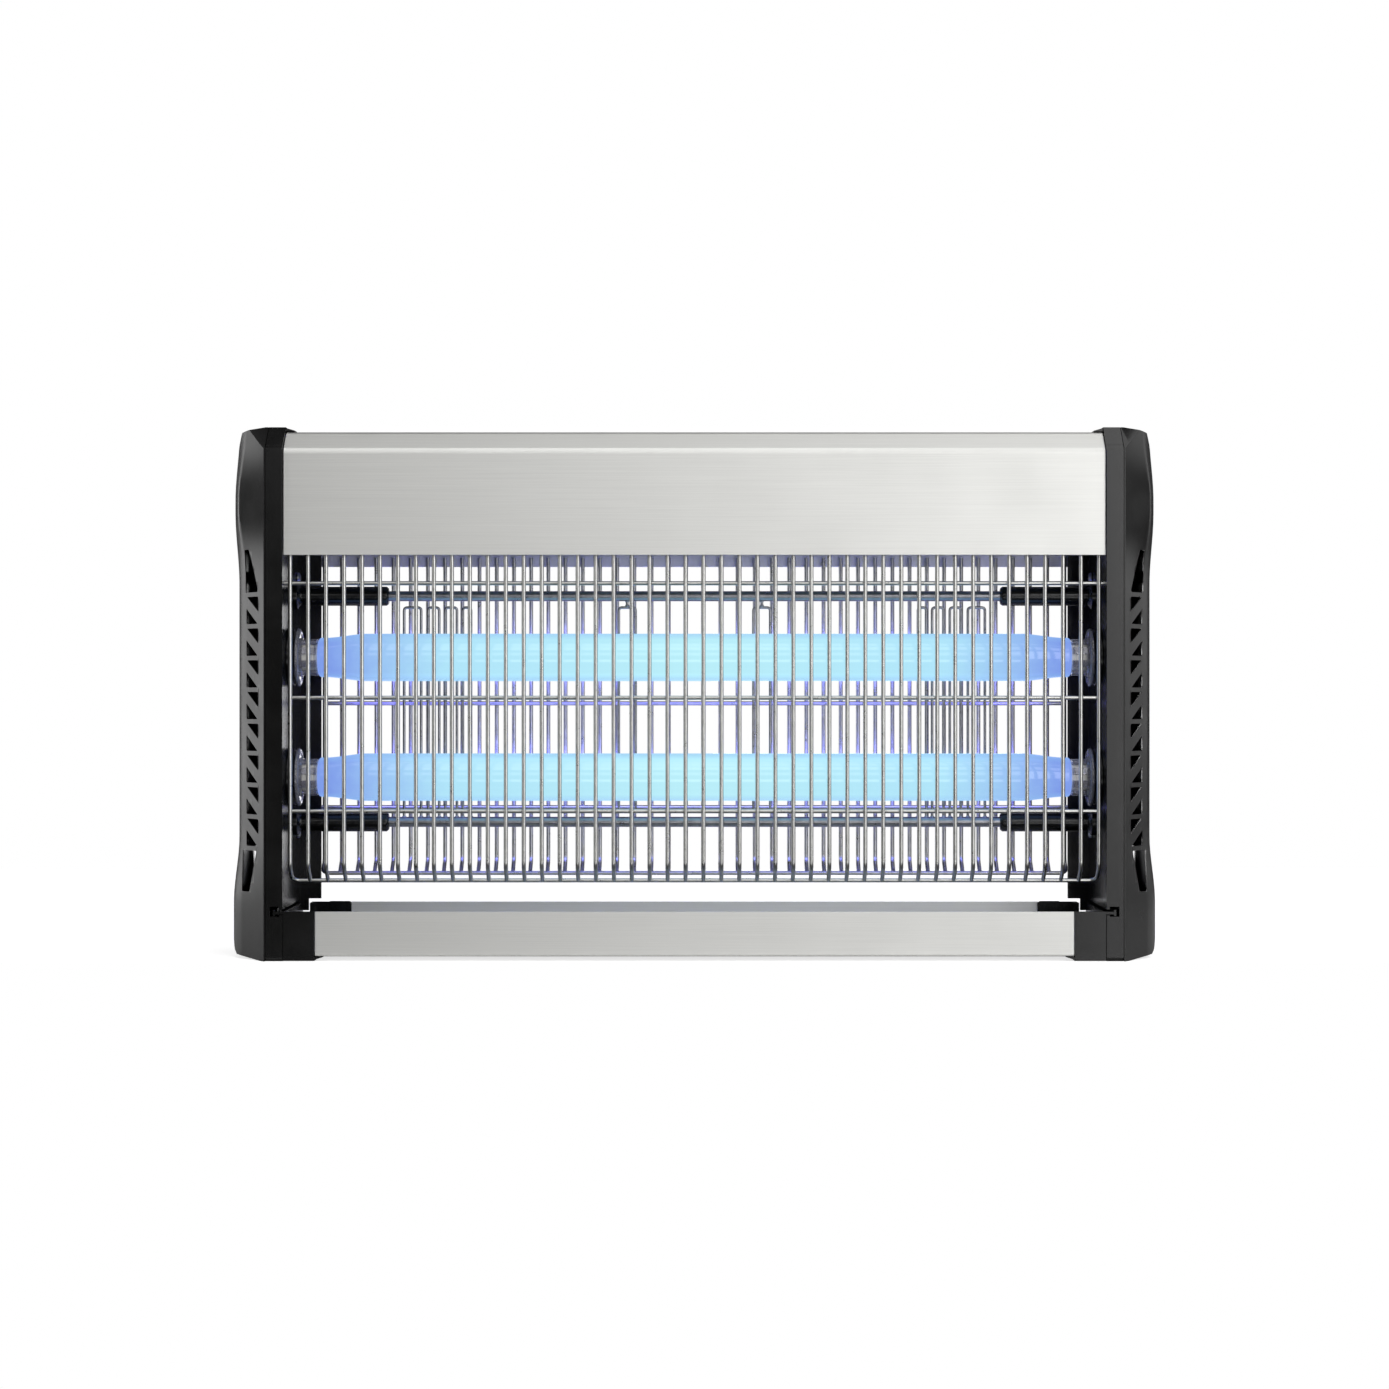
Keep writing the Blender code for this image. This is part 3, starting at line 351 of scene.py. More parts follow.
def shade(piece, angle=40):
    piece.data.shade_smooth()
    piece.data.set_sharp_from_angle(angle=math.radians(angle))
    addModifier(piece, "WEIGHTED_NORMAL", {"keep_sharp": True, "weight": 60})


def only(kind, items):
    return [item for item in items if isinstance(item, kind)]


def bevelEdges(bm, edges, offset, segments):
    bmesh.ops.bevel(bm, geom=edges, offset=offset, segments=segments, profile=0.5, affect="EDGES",
                    material=-1)


def addBox(bm, x, y, z):
    made = bmesh.ops.create_cube(bm, size=1)
    size = (x[1] - x[0], y[1] - y[0], z[1] - z[0])
    bmesh.ops.scale(bm, vec=size, verts=made["verts"])
    bmesh.ops.translate(bm, vec=((x[0] + x[1]) / 2, (y[0] + y[1]) / 2, (z[0] + z[1]) / 2),
                        verts=made["verts"])
    return made["verts"]


def addBar(bm, centre, radius, length, axis, segments=24):
    turned = Vector((0, 0, 1)).rotation_difference(Vector(axis)).to_matrix().to_4x4()
    bmesh.ops.create_cone(bm, cap_ends=True, segments=segments, radius1=radius, radius2=radius,
                          depth=length,
                          matrix=Matrix.Translation(centre) @ turned)


def extrudeOutline(bm, points, vec):  # a flat outline of a few points, grown into a solid
    face = bm.faces.new([bm.verts.new(p) for p in points])
    grown = bmesh.ops.extrude_face_region(bm, geom=[face])["geom"]
    verts = only(bmesh.types.BMVert, grown)
    bmesh.ops.translate(bm, vec=vec, verts=verts)
    return [face] + only(bmesh.types.BMFace, grown)


def extrudeAcross(bm, outline, start, depth):  # an outline of (x, z) points, grown along Y
    extrudeOutline(bm, [(x, start, z) for x, z in outline], (0, depth, 0))


def turnProfile(bm, points, segments=48, closed=True, axis=(1, 0, 0), centre=(0, 0, 0)):
    along = Vector(axis)
    across = Vector((0, 0, 1)) if along.z == 0 else Vector((1, 0, 0))
    verts = [bm.verts.new(Vector(centre) + along * a + across * r) for a, r in points]
    pairs = list(zip(verts, verts[1:])) + ([(verts[-1], verts[0])] if closed else [])
    edges = [bm.edges.new(pair) for pair in pairs]
    bmesh.ops.spin(bm, geom=verts + edges, cent=centre, axis=along, angle=math.tau, steps=segments,
                   use_merge=True)
    bmesh.ops.remove_doubles(bm, verts=bm.verts, dist=1e-7)


def drawWire(bm, start, heading, moves, radius, sides=12, closed=False, bendSteps=4):
    # moves are lengths to run straight, or (angle, bend radius, axis) to bend
    position, direction = Vector(start), Vector(heading).normalized()
    turned = Vector((0, 0, 1)).rotation_difference(direction).to_matrix().to_4x4()
    ring = bmesh.ops.create_circle(bm, cap_ends=not closed, segments=sides, radius=radius,
                                   matrix=Matrix.Translation(position) @ turned)["verts"]
    edges = [e for e in dict.fromkeys(e for v in ring for e in v.link_edges)
             if all(v in ring for v in e.verts)]
    for move in moves:
        if isinstance(move, tuple):
            angle, bendRadius, axis = move
            inward = Vector(axis).cross(direction)
            grown = bmesh.ops.spin(bm, geom=ring + edges, cent=position + inward * bendRadius, axis=axis,
                                   angle=angle, steps=bendSteps)["geom_last"]
            turn = Matrix.Rotation(angle, 3, axis)
            position = position + inward * bendRadius - turn @ (inward * bendRadius)
            direction = turn @ direction
        else:
            grown = bmesh.ops.extrude_edge_only(bm, edges=edges)["geom"]
            moved = only(bmesh.types.BMVert, grown)
            bmesh.ops.translate(bm, vec=direction * move, verts=moved)
            position = position + direction * move
        ring = only(bmesh.types.BMVert, grown)
        edges = only(bmesh.types.BMEdge, grown)
        edges = [edge for edge in edges if all(v in ring for v in edge.verts)]
    if not closed:
        bmesh.ops.contextual_create(bm, geom=edges)


def addNuggets(bm, places, radius, squash):  # the small lumps that resistance welding leaves
    for place in places:
        made = bmesh.ops.create_icosphere(bm, subdivisions=1, radius=radius)["verts"]
        bmesh.ops.scale(bm, vec=squash, verts=made)
        bmesh.ops.translate(bm, vec=place, verts=made)


def foldSheet(name, section, vec, sheet, radius, material, segments=6):  # a bent strip, thickened inward
    bm = bmesh.new()
    verts = [bm.verts.new(point) for point in section]
    strip = [bm.edges.new(pair) for pair in zip(verts, verts[1:])]
    grown = bmesh.ops.extrude_edge_only(bm, edges=strip)["geom"]
    bmesh.ops.translate(bm, vec=vec, verts=only(bmesh.types.BMVert, grown))
    folds = [edge for edge in bm.edges if len(edge.link_faces) == 2]
    bevelEdges(bm, folds, radius, segments)
    bmesh.ops.recalc_face_normals(bm, faces=bm.faces)
    middle = sum((face.calc_center_median() for face in bm.faces), Vector()) / len(bm.faces)
    widest = max(bm.faces, key=lambda face: face.calc_area())
    if widest.normal.dot(widest.calc_center_median() - middle) < 0:
        bmesh.ops.reverse_faces(bm, faces=bm.faces)
    piece = addObject(name, bm, material, closed=False)
    addModifier(piece, "SOLIDIFY", {"thickness": sheet, "offset": -1.0, "use_even_offset": True})
    return piece


housing = {"sheet": 1.2 * mm, "frontSkirt": 219 * mm, "foldY": 30 * mm, "foldDrop": 10.7 * mm,
           "foldRadius": 2.2 * mm, "glandX": 175 * mm, "glandZ": 246 * mm, "glandHole": 6.2 * mm}


def makeHousing():
    low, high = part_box("top_housing")
    slope = high.z - housing["foldDrop"]
    section = [(low.x, low.y, housing["frontSkirt"]), (low.x, low.y, slope),
               (low.x, -housing["foldY"], high.z),
               (low.x, housing["foldY"], high.z), (low.x, high.y, slope), (low.x, high.y, low.z)]
    piece = foldSheet("housingShell", section, (high.x - low.x, 0, 0), housing["sheet"],
                      housing["foldRadius"],
                      brushedAluminium)
    hole = bmesh.new()
    addBar(hole, (housing["glandX"], high.y, housing["glandZ"]), housing["glandHole"], 8 * mm, (0, 1, 0),
           40)
    carve(piece, hole)
    roundEdges(piece, 0.3 * mm, 2, 50)
    shade(piece)
    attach(piece, "frame")
    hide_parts("top_housing")


tray = {"sheet": 1.0 * mm, "foldRadius": 1.2 * mm, "endWall": 2.5 * mm, "cheek": 1.2 * mm,
        "stepZ": 20 * mm, "footReach": 4.3 * mm,
        "narrowX": 216 * mm, "turnY": 29.5 * mm, "tabX": 193.6 * mm, "railTipX": 227.3 * mm,
        "railWebX": 226.1 * mm, "railZ": (24.4 * mm, 25.3 * mm, 26.7 * mm, 27.7 * mm), "gap": 0.3 * mm}


def makeTrayPan():
    low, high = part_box("tray_pan")
    section = [(low.x, y, z) for y, z in ((low.y, high.z), (low.y, low.z), (high.y, low.z),
                                          (high.y, high.z))]
    piece = foldSheet("trayPanSheet", section, (high.x - low.x, 0, 0), tray["sheet"], tray["foldRadius"],
                      brushedAluminium)
    roundEdges(piece, 0.25 * mm, 2, 50)
    shade(piece)
    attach(piece, "tray")
    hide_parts("tray_pan")


def makeTrayEnd(word, side):
    low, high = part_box(f"tray_end_{word}")
    panLow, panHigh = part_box("tray_pan")
    inner, wide = panHigh.x + tray["gap"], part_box("top_housing")[1].x
    bm = bmesh.new()
    outline = [(inner, low.y), (wide, low.y), (wide, tray["turnY"]), (tray["narrowX"], tray["turnY"]),
               (tray["narrowX"], high.y), (inner, high.y)]
    extrudeOutline(bm, [(x, y, low.z) for x, y in outline], (0, 0, panHigh.z - low.z))
    mirrorTo(bm, side)
    piece = addObject(f"trayCheek.{word}", bm, blackPlastic)

    front, rear = low.y + tray["endWall"], high.y - tray["endWall"]
    floor, above, cheek = panLow.z + tray["sheet"], panHigh.z + mm, wide - tray["cheek"]
    hollows = (((inner - mm, tray["narrowX"] - tray["endWall"]), (front, rear), (floor, above)),
               ((inner + mm, cheek), (front, tray["turnY"] - tray["endWall"]), (floor, above)),
               ((tray["narrowX"], cheek), (0, tray["turnY"] + mm), (tray["stepZ"], above)))
    for x, y, z in hollows:
        well = bmesh.new()
        addBox(well, x, y, z)
        carve(piece, well, side=side)

    rail = bmesh.new()
    root = cheek + 0.2 * mm
    foot, webLow, webHigh, head = tray["railZ"]
    web, tip = tray["railWebX"], tray["railTipX"]
    outline = [(root, webLow), (web, webLow), (web, foot), (tip, foot), (tip, head), (web, head),
               (web, webHigh), (root, webHigh)]
    extrudeAcross(rail, outline, low.y + 0.8 * mm, tray["turnY"] - low.y - 0.8 * mm)
    carve(piece, rail, "UNION", side)

    tab = bmesh.new()
    addBox(tab, (tray["tabX"], inner + mm), (panHigh.y - 3.0 * mm, panHigh.y - 1.3 * mm),
           (panLow.z + tray["sheet"] + tray["gap"], panHigh.z + 0.4 * mm))
    tips = [e for e in tab.edges if all(v.co.x < inner - mm for v in e.verts) and
            abs(e.verts[0].co.y - e.verts[1].co.y) > 0.5 * mm]
    bevelEdges(tab, tips, 1.5 * mm, 4)
    carve(piece, tab, "UNION", side)
    wedge = bmesh.new()  # a thin wedge runs in under the pan and carries it
    outline = [(inner + mm, low.z + 0.2 * mm), (inner + mm, panLow.z - tray["gap"]),
               (panHigh.x - tray["footReach"], panLow.z - tray["gap"])]
    extrudeAcross(wedge, outline, low.y + 0.5 * mm, high.y - low.y - mm)
    carve(piece, wedge, "UNION", side)
    roundEdges(piece, 0.35 * mm, 2)
    shade(piece)
    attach(piece, "tray")
    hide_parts(f"tray_end_{word}")


endFrame = {"wallX": 222 * mm, "wall": 2.4 * mm, "slopeRun": 15 * mm, "slopeRise": 12.5 * mm,
            "footChamfer": 2 * mm, "lipY": (31.5 * mm, 34 * mm), "lipX": (210.2 * mm, 217.2 * mm),
            "lipZ": (22.3 * mm, 29 * mm, 222.2 * mm), "railZ": (20.5 * mm, 32.5 * mm),
            "groove": (223.7 * mm, 228.8 * mm, 24.1 * mm, 29.5 * mm), "grooveRear": 30.5 * mm,
            "ledgeX": 217.1 * mm, "screwY": 18 * mm, "screwZ": (209 * mm, 66.6 * mm), "screwHole": 1.8 * mm,
            "wireHole": 1.5 * mm, "seam": 0.6 * mm, "seamZ": 278.3 * mm, "edge": 0.4 * mm,
            "slots": ((-42.0 * mm, -40.0 * mm, 37.0 * mm, 43.4 * mm),
                      (-42.0 * mm, -40.5 * mm, 60.5 * mm, 63 * mm))}
crossWireY = 36.1 * mm


def frameOutline(depth, height):
    run, rise, chamfer = endFrame["slopeRun"], endFrame["slopeRise"], endFrame["footChamfer"]
    half = [(depth - chamfer, 0), (depth, chamfer), (depth, height - rise), (depth - run, height)]
    return half + [(-y, z) for y, z in reversed(half)]


def makeEndFrame(word, side):
    low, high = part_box("end_frame_right")
    wallX, wall = endFrame["wallX"], endFrame["wall"]
    bm = bmesh.new()
    faces = extrudeOutline(bm, [(wallX, y, z) for y, z in frameOutline(high.y, high.z)],
                           (high.x - wallX, 0, 0))
    bm.normal_update()
    mouth = max(faces, key=lambda face: face.calc_center_median().x)
    bmesh.ops.inset_region(bm, faces=[mouth], thickness=wall, use_even_offset=True)
    grown = bmesh.ops.extrude_face_region(bm, geom=[mouth])["geom"]
    bmesh.ops.translate(bm, vec=(wall - (high.x - wallX), 0, 0),
                        verts=only(bmesh.types.BMVert, grown))
    bmesh.ops.delete(bm, geom=[mouth], context="FACES_ONLY")
    mirrorTo(bm, side)
    piece = addObject(f"sideFrame.{word}", bm, blackPlastic)

    inside = high.y - wall / 2
    rail = bmesh.new()
    addBox(rail, (wallX + wall / 2, high.x - 0.1 * mm), (-inside, inside), endFrame["railZ"])
    carve(piece, rail, "UNION", side)

    lip = bmesh.new()
    wide, narrow = endFrame["lipX"]
    foot, step, top = endFrame["lipZ"]
    root = wallX + wall / 2
    outline = [(root, foot), (narrow, foot), (narrow, step), (wide, step), (wide, top), (root, top)]
    y0, y1 = endFrame["lipY"]
    extrudeAcross(lip, outline, y0, y1 - y0)
    carve(piece, lip, "UNION", side)

    ledge = bmesh.new()
    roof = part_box("top_housing")[1].z
    reach = high.y - endFrame["slopeRun"]
    outline = [(wallX + mm, roof + 0.3 * mm), (endFrame["ledgeX"], roof + 0.3 * mm),
               (endFrame["ledgeX"], roof + 0.8 * mm), (wallX + mm, high.z - 0.1 * mm)]
    extrudeAcross(ledge, outline, -reach, 2 * reach)
    carve(piece, ledge, "UNION", side)

    groove = bmesh.new()
    x0, x1, z0, z1 = endFrame["groove"]
    mouthX, lowLip, highLip = wallX - mm, z0 + 0.8 * mm, z1 - 1.5 * mm
    outline = [(mouthX, lowLip), (x0, lowLip), (x0, z0), (x1, z0), (x1, z1), (x0, z1), (x0, highLip),
               (mouthX, highLip)]
    extrudeAcross(groove, outline, low.y - mm, endFrame["grooveRear"] - low.y + mm)
    carve(piece, groove, side=side)

    holes = bmesh.new()
    spots = [(-crossWireY, z, endFrame["wireHole"]) for z in guard["front"]["longCross"]]
    spots += [(crossWireY, z, endFrame["wireHole"]) for z in guard["rear"]["longCross"]]
    spots += [(endFrame["screwY"], z, endFrame["screwHole"]) for z in endFrame["screwZ"]]
    spots += [(y, chassis["screwZ"], chassis["hole"]) for y in (-chassis["screwY"], chassis["screwY"])]
    for y, z, radius in spots:
        addBar(holes, (wallX + mm, y, z), radius, 8 * mm, (1, 0, 0), 20)
    for y0, y1, z0, z1 in endFrame["slots"]:
        addBox(holes, (wallX - wall, wallX + 2 * wall), (y0, y1), (z0, z1))
    seam = endFrame["seam"]
    slopeFoot = high.z - endFrame["slopeRise"]
    surface = high.y - (endFrame["seamZ"] - slopeFoot) * endFrame["slopeRun"] / endFrame["slopeRise"]
    for end in (-1, 1):  # a parting groove crosses the band where its top starts to slope
        addBox(holes, (wallX - mm, high.x + mm), sorted((end * (surface - seam), end * (high.y + mm))),
               (endFrame["seamZ"] - seam / 2, endFrame["seamZ"] + seam / 2))
    carve(piece, holes, side=side)
    roundEdges(piece, endFrame["edge"], 2)
    shade(piece)
    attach(piece, "frame")
    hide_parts(f"end_frame_{word}")


endCover = {"rimX": 231.5 * mm, "halfDepth": 45 * mm, "wall": 2.2 * mm, "trussX": 250.4 * mm,
            "footSwell": (3.1 * mm, 30 * mm, 66 * mm), "headSwell": (2.0 * mm, 204 * mm, 243 * mm),
            "headTaper": (2.3 * mm, 250 * mm, 289 * mm), "flank": (6.2 * mm, 26 * mm),
            "podFlank": (4.4 * mm, 32 * mm), "nose": (1.6 * mm, 18 * mm), "crest": 9 * mm,
            "levels": 56, "rimExtra": 3 * mm, "cornerRadius": 1.6 * mm, "creaseAngle": 15,
            "edge": 0.35 * mm,
            "post": (224.7 * mm, 246.4 * mm), "postRadius": 3.6 * mm, "pilot": (229 * mm, 15 * mm),
            "slices": (((233, 289), (2.9, 15.6)), ((248, 283.2), (6.3, 2.2)), ((252.3, 8), (6.1, -1.2)),
                       ((250.8, 3.4), (3.5, -2.2)), ((240, 0.8), (2.2, -16)))}
truss = {"top": 198 * mm, "pitch": 17.2 * mm, "cells": 8, "strut": 2.4 * mm,
         "windowX": (235.8 * mm, 243.9 * mm),
         "windowZ": (36.8 * mm, 222.4 * mm), "cornerRadius": 0.7 * mm}


def coverReach(z):  # how far from the centre plane the cover stands at this height
    foot, footTop, footEnd = endCover["footSwell"]
    head, headStart, headEnd = endCover["headSwell"]
    taper, taperStart, taperEnd = endCover["headTaper"]
    return (endCover["trussX"] + foot * (1 - smoothStep(footTop, footEnd, z))
            + head * smoothStep(headStart, headEnd, z) - taper * smoothStep(taperStart, taperEnd, z))


def coverFullness(z):  # 0 along the truss and below it, 1 where the upper pod is roundest
    return smoothStep(206 * mm, 244 * mm, z) * (1 - 0.7 * smoothStep(249 * mm, 289 * mm, z))


def coverSection(z):  # half a section from the front rim to the middle, as (x, y)
    outer, full = coverReach(z), coverFullness(z)
    base = Vector((endCover["rimX"] + 0.6 * mm, endCover["halfDepth"]))
    back, y = (a + full * (b - a) for a, b in zip(endCover["flank"], endCover["podFlank"]))
    flank = Vector((outer - back, y))
    nose = Vector((outer - endCover["nose"][0], endCover["nose"][1] + full * 3 * mm))
    frame = [base, base.lerp(flank, 0.12), base.lerp(flank, 0.5), base.lerp(flank, 0.88), flank, nose,
             Vector((outer, endCover["crest"])), Vector((outer, 0))]
    points = [Vector((base.x - endCover["rimExtra"] - 0.6 * mm, base.y)), base]
    for before, corner, after in zip(frame, frame[1:], frame[2:]):
        start, end = (before + corner) / 2, (corner + after) / 2
        if before is base:
            start = base
        for step in range(1, 4):  # each corner of the frame is rounded by a short parabola
            part = step / 3
            points.append(start * (1 - part) ** 2 + corner * 2 * part * (1 - part) + end * part ** 2)
    points.append(frame[-1])
    return points


def sliceOff(bm, point, normal):
    cut = bmesh.ops.bisect_plane(bm, geom=bm.verts[:] + bm.edges[:] + bm.faces[:], dist=1e-7,
                                 plane_co=point,
                                 plane_no=normal, clear_outer=True)
    edges = only(bmesh.types.BMEdge, cut["geom_cut"])
    bmesh.ops.contextual_create(bm, geom=edges)


def trussWindows():
    inner, outer = truss["windowX"]
    lowest, highest = truss["windowZ"]
    half = truss["strut"] / 2
    windows = [[(inner, truss["top"] + half), (outer + 0.6 * mm, truss["top"] + half),
                (outer + 0.6 * mm, highest), (outer - 2.2 * mm, highest)]]
    for cell in range(truss["cells"]):
        top = truss["top"] - cell * truss["pitch"] - half
        low = truss["top"] - (cell + 1) * truss["pitch"] + half
        windows.append([(outer - 0.4 * mm, top), (inner, top), (inner, top - 8.2 * mm)])
        windows.append([(outer, low), (outer, low + 8.6 * mm), (inner + 0.4 * mm, low)])
    last = truss["top"] - truss["cells"] * truss["pitch"] - half
    windows.append([(inner + 1.2 * mm, last), (outer + 2.6 * mm, last), (outer + 2.4 * mm, lowest),
                    (outer - 2.4 * mm, lowest)])
    return windows


def makeEndCover(word, side):
    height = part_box("end_cover_right")[1].z
    start = endCover["rimX"] - endCover["rimExtra"]
    last, levels = 2 * len(coverSection(0)) - 2, endCover["levels"]
    bm = bmesh.new()
    # a grid is bent round: its columns follow the section and its rows climb the cover
    bmesh.ops.create_grid(bm, x_segments=last, y_segments=levels, size=0.5)
    lattice = {}
    for vert in bm.verts:
        column, row = round((vert.co.x + 0.5) * last), round((vert.co.y + 0.5) * levels)
        z = height * row / levels
        x, y = coverSection(z)[min(column, last - column)]
        vert.co = (x, -y if column <= last // 2 else y, z)
        lattice[column, row] = vert
    for row in (0, levels):
        bm.faces.new([lattice[column, row] for column in range(last + 1)])
    bm.faces.new([lattice[0, row] for row in range(levels + 1)] + [lattice[last,
                                                                           row] for row in range(levels, -1,
                                                                                                 -1)])
    for (x, z), (across, up) in endCover["slices"]:
        sliceOff(bm, (x * mm, 0, z * mm), (across, 0, up))
    for end in (-1, 1):
        sliceOff(bm, (0, end * endCover["halfDepth"], height - endFrame["slopeRise"]),
                 (0, end * endFrame["slopeRise"], endFrame["slopeRun"]))
    inner = [face for face in bm.faces if all(v.co.x < start + 1e-5 for v in face.verts)]
    bmesh.ops.delete(bm, geom=inner, context="FACES")
    mirrorTo(bm, side)
    piece = addObject(f"sideCover.{word}", bm, coverPlastic)
    # the shell is open at its rim, so its outside is turned away from the middle before it gets a wall
    outermost = max(piece.data.polygons, key=lambda face: abs(face.center.x))
    if outermost.normal.x * side < 0:
        piece.data.flip_normals()
    outside = len(piece.data.vertices)
    addModifier(piece, "SOLIDIFY", {"thickness": endCover["wall"], "offset": -1.0, "use_even_offset": True})
    bm = bmesh.new()
    bm.from_mesh(piece.data)
    bm.verts.index_update()
    creases = [edge for edge in bm.edges if all(v.index < outside and abs(v.co.x) > start + mm
                                                for v in edge.verts)
               and edge.calc_face_angle(0) > math.radians(endCover["creaseAngle"])]
    bmesh.ops.bevel(bm, geom=creases, offset=endCover["cornerRadius"], segments=4, profile=0.5,
                    affect="EDGES",
                    material=-1, clamp_overlap=True)
    bm.to_mesh(piece.data)
    bm.free()

    trim = bmesh.new()
    addBox(trim, (200 * mm, endCover["rimX"]), (-60 * mm, 60 * mm), (-10 * mm, height + 10 * mm))
    carve(piece, trim, side=side)
    windows = bmesh.new()
    for outline in trussWindows():
        grown = bmesh.new()
        extrudeAcross(grown, outline, -60 * mm, 120 * mm)
        corners = [e for e in grown.edges if abs(e.verts[0].co.y - e.verts[1].co.y) > 50 * mm]
        bevelEdges(grown, corners, truss["cornerRadius"], 3)
        mesh = bpy.data.meshes.new("window")
        grown.to_mesh(mesh)
        grown.free()
        windows.from_mesh(mesh)
        bpy.data.meshes.remove(mesh)
    carve(piece, windows, side=side)
    posts, pilots = bmesh.new(), bmesh.new()
    (postStart, postEnd), (pilotX, pilotLength) = endCover["post"], endCover["pilot"]
    for z in endFrame["screwZ"]:
        addBar(posts, ((postStart + postEnd) / 2, endFrame["screwY"], z), endCover["postRadius"],
               postEnd - postStart, (1, 0, 0))
        addBar(pilots, (pilotX, endFrame["screwY"], z), endFrame["screwHole"], pilotLength, (1, 0, 0))
    carve(piece, posts, "UNION", side)
    carve(piece, pilots, side=side)
    roundEdges(piece, endCover["edge"], 2, 40)
    shade(piece)
    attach(piece, "frame")
    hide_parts(f"end_cover_{word}")


guard = {"pitch": 9.72 * mm, "wire": 1.15 * mm, "y": 38 * mm, "top": 221 * mm, "bendZ": 50 * mm,
         "lean": 10 * mm, "bendRadius": 6 * mm, "cornerRadius": 4 * mm, "sides": 12,
         "front": {"pairs": 23, "bottom": 42.7 * mm, "cross": (204 * mm, 142 * mm, 80.6 * mm),
                   "longCross": (204 * mm,), "reach": 224.2 * mm},
         "rear": {"pairs": 22, "bottom": 43.5 * mm, "cross": (200 * mm, 138.8 * mm, 80.2 * mm),
                  "longCross": (200 * mm, 80.2 * mm), "reach": 224.2 * mm}}


def makeGuard(name, face, node, body):
    spec = guard["front" if face < 0 else "rear"]
    edge = guard["pitch"] * (spec["pairs"] - 0.5)
    drop = guard["bendZ"] - spec["bottom"]
    leanAngle = math.atan2(guard["lean"], drop)
    leanLength = math.hypot(guard["lean"], drop)
    tangent = guard["bendRadius"] * math.tan(leanAngle / 2)
    straight = guard["top"] - guard["bendZ"] - tangent
    bend = (leanAngle, guard["bendRadius"], Vector((-face, 0, 0)))
    bm = bmesh.new()
    # the inner uprights are cut wires, all alike
    for step in range(1 - spec["pairs"], spec["pairs"] - 1):
        x = guard["pitch"] * (step + 0.5)
        drawWire(bm, (x, face * guard["y"], guard["top"]), (0, 0, -1),
                 [straight, bend, leanLength - tangent],
                 guard["wire"], guard["sides"])
    # the outermost uprights and the bottom are one wire with rounded corners
    sloping = leanLength - tangent - guard["cornerRadius"]
    leaning = Vector((0, -face * guard["lean"], -drop)).normalized()
    across = leaning.cross(Vector((1, 0, 0)))
    corner = (math.pi / 2, guard["cornerRadius"], across)
    back = (leanAngle, guard["bendRadius"], Vector((face, 0, 0)))
    drawWire(bm, (-edge, face * guard["y"], guard["top"]), (0, 0, -1),
             [straight, bend, sloping, corner, 2 * (edge - guard["cornerRadius"]), corner, sloping,
              back, straight], guard["wire"], guard["sides"])
    crossY = face * crossWireY
    for z in spec["cross"]:
        reach = spec["reach"] if z in spec["longCross"] else edge + 0.2 * mm
        drawWire(bm, (-reach, crossY, z), (1, 0, 0), [2 * reach], guard["wire"], guard["sides"])
    nuggets = []
    for z in spec["cross"]:
        for step in range(-spec["pairs"], spec["pairs"]):
            nuggets.append((guard["pitch"] * (step + 0.5), face * (guard["y"] - 0.95 * mm), z))
    addNuggets(bm, nuggets, 1.25 * mm, (1, 0.8, 1))
    piece = addObject(name, bm, guardSteel)
    shade(piece, 50)
    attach(piece, body)
    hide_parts(node)


grid = {"y": 2 * mm, "rod": 2.8 * mm, "wire": 0.8 * mm, "freeGap": 6.3 * mm, "bend": 1.6 * mm,
        "rodZ": {"upper": 198.2 * mm, "lower": 73.3 * mm}, "rodReach": 220 * mm,
        "hairpins": ((160.7 * mm, 151.3 * mm), (147.4 * mm, 141.3 * mm), (137.9 * mm, 131.5 * mm),
                     (128.3 * mm, 123.7 * mm)),
        "loop": (41.9 * mm, 32.6 * mm), "combPitch": 9.95 * mm,
        "combSteps": (0, 1, 2, 5, 6, 7, 8, 9, 10, 11)}


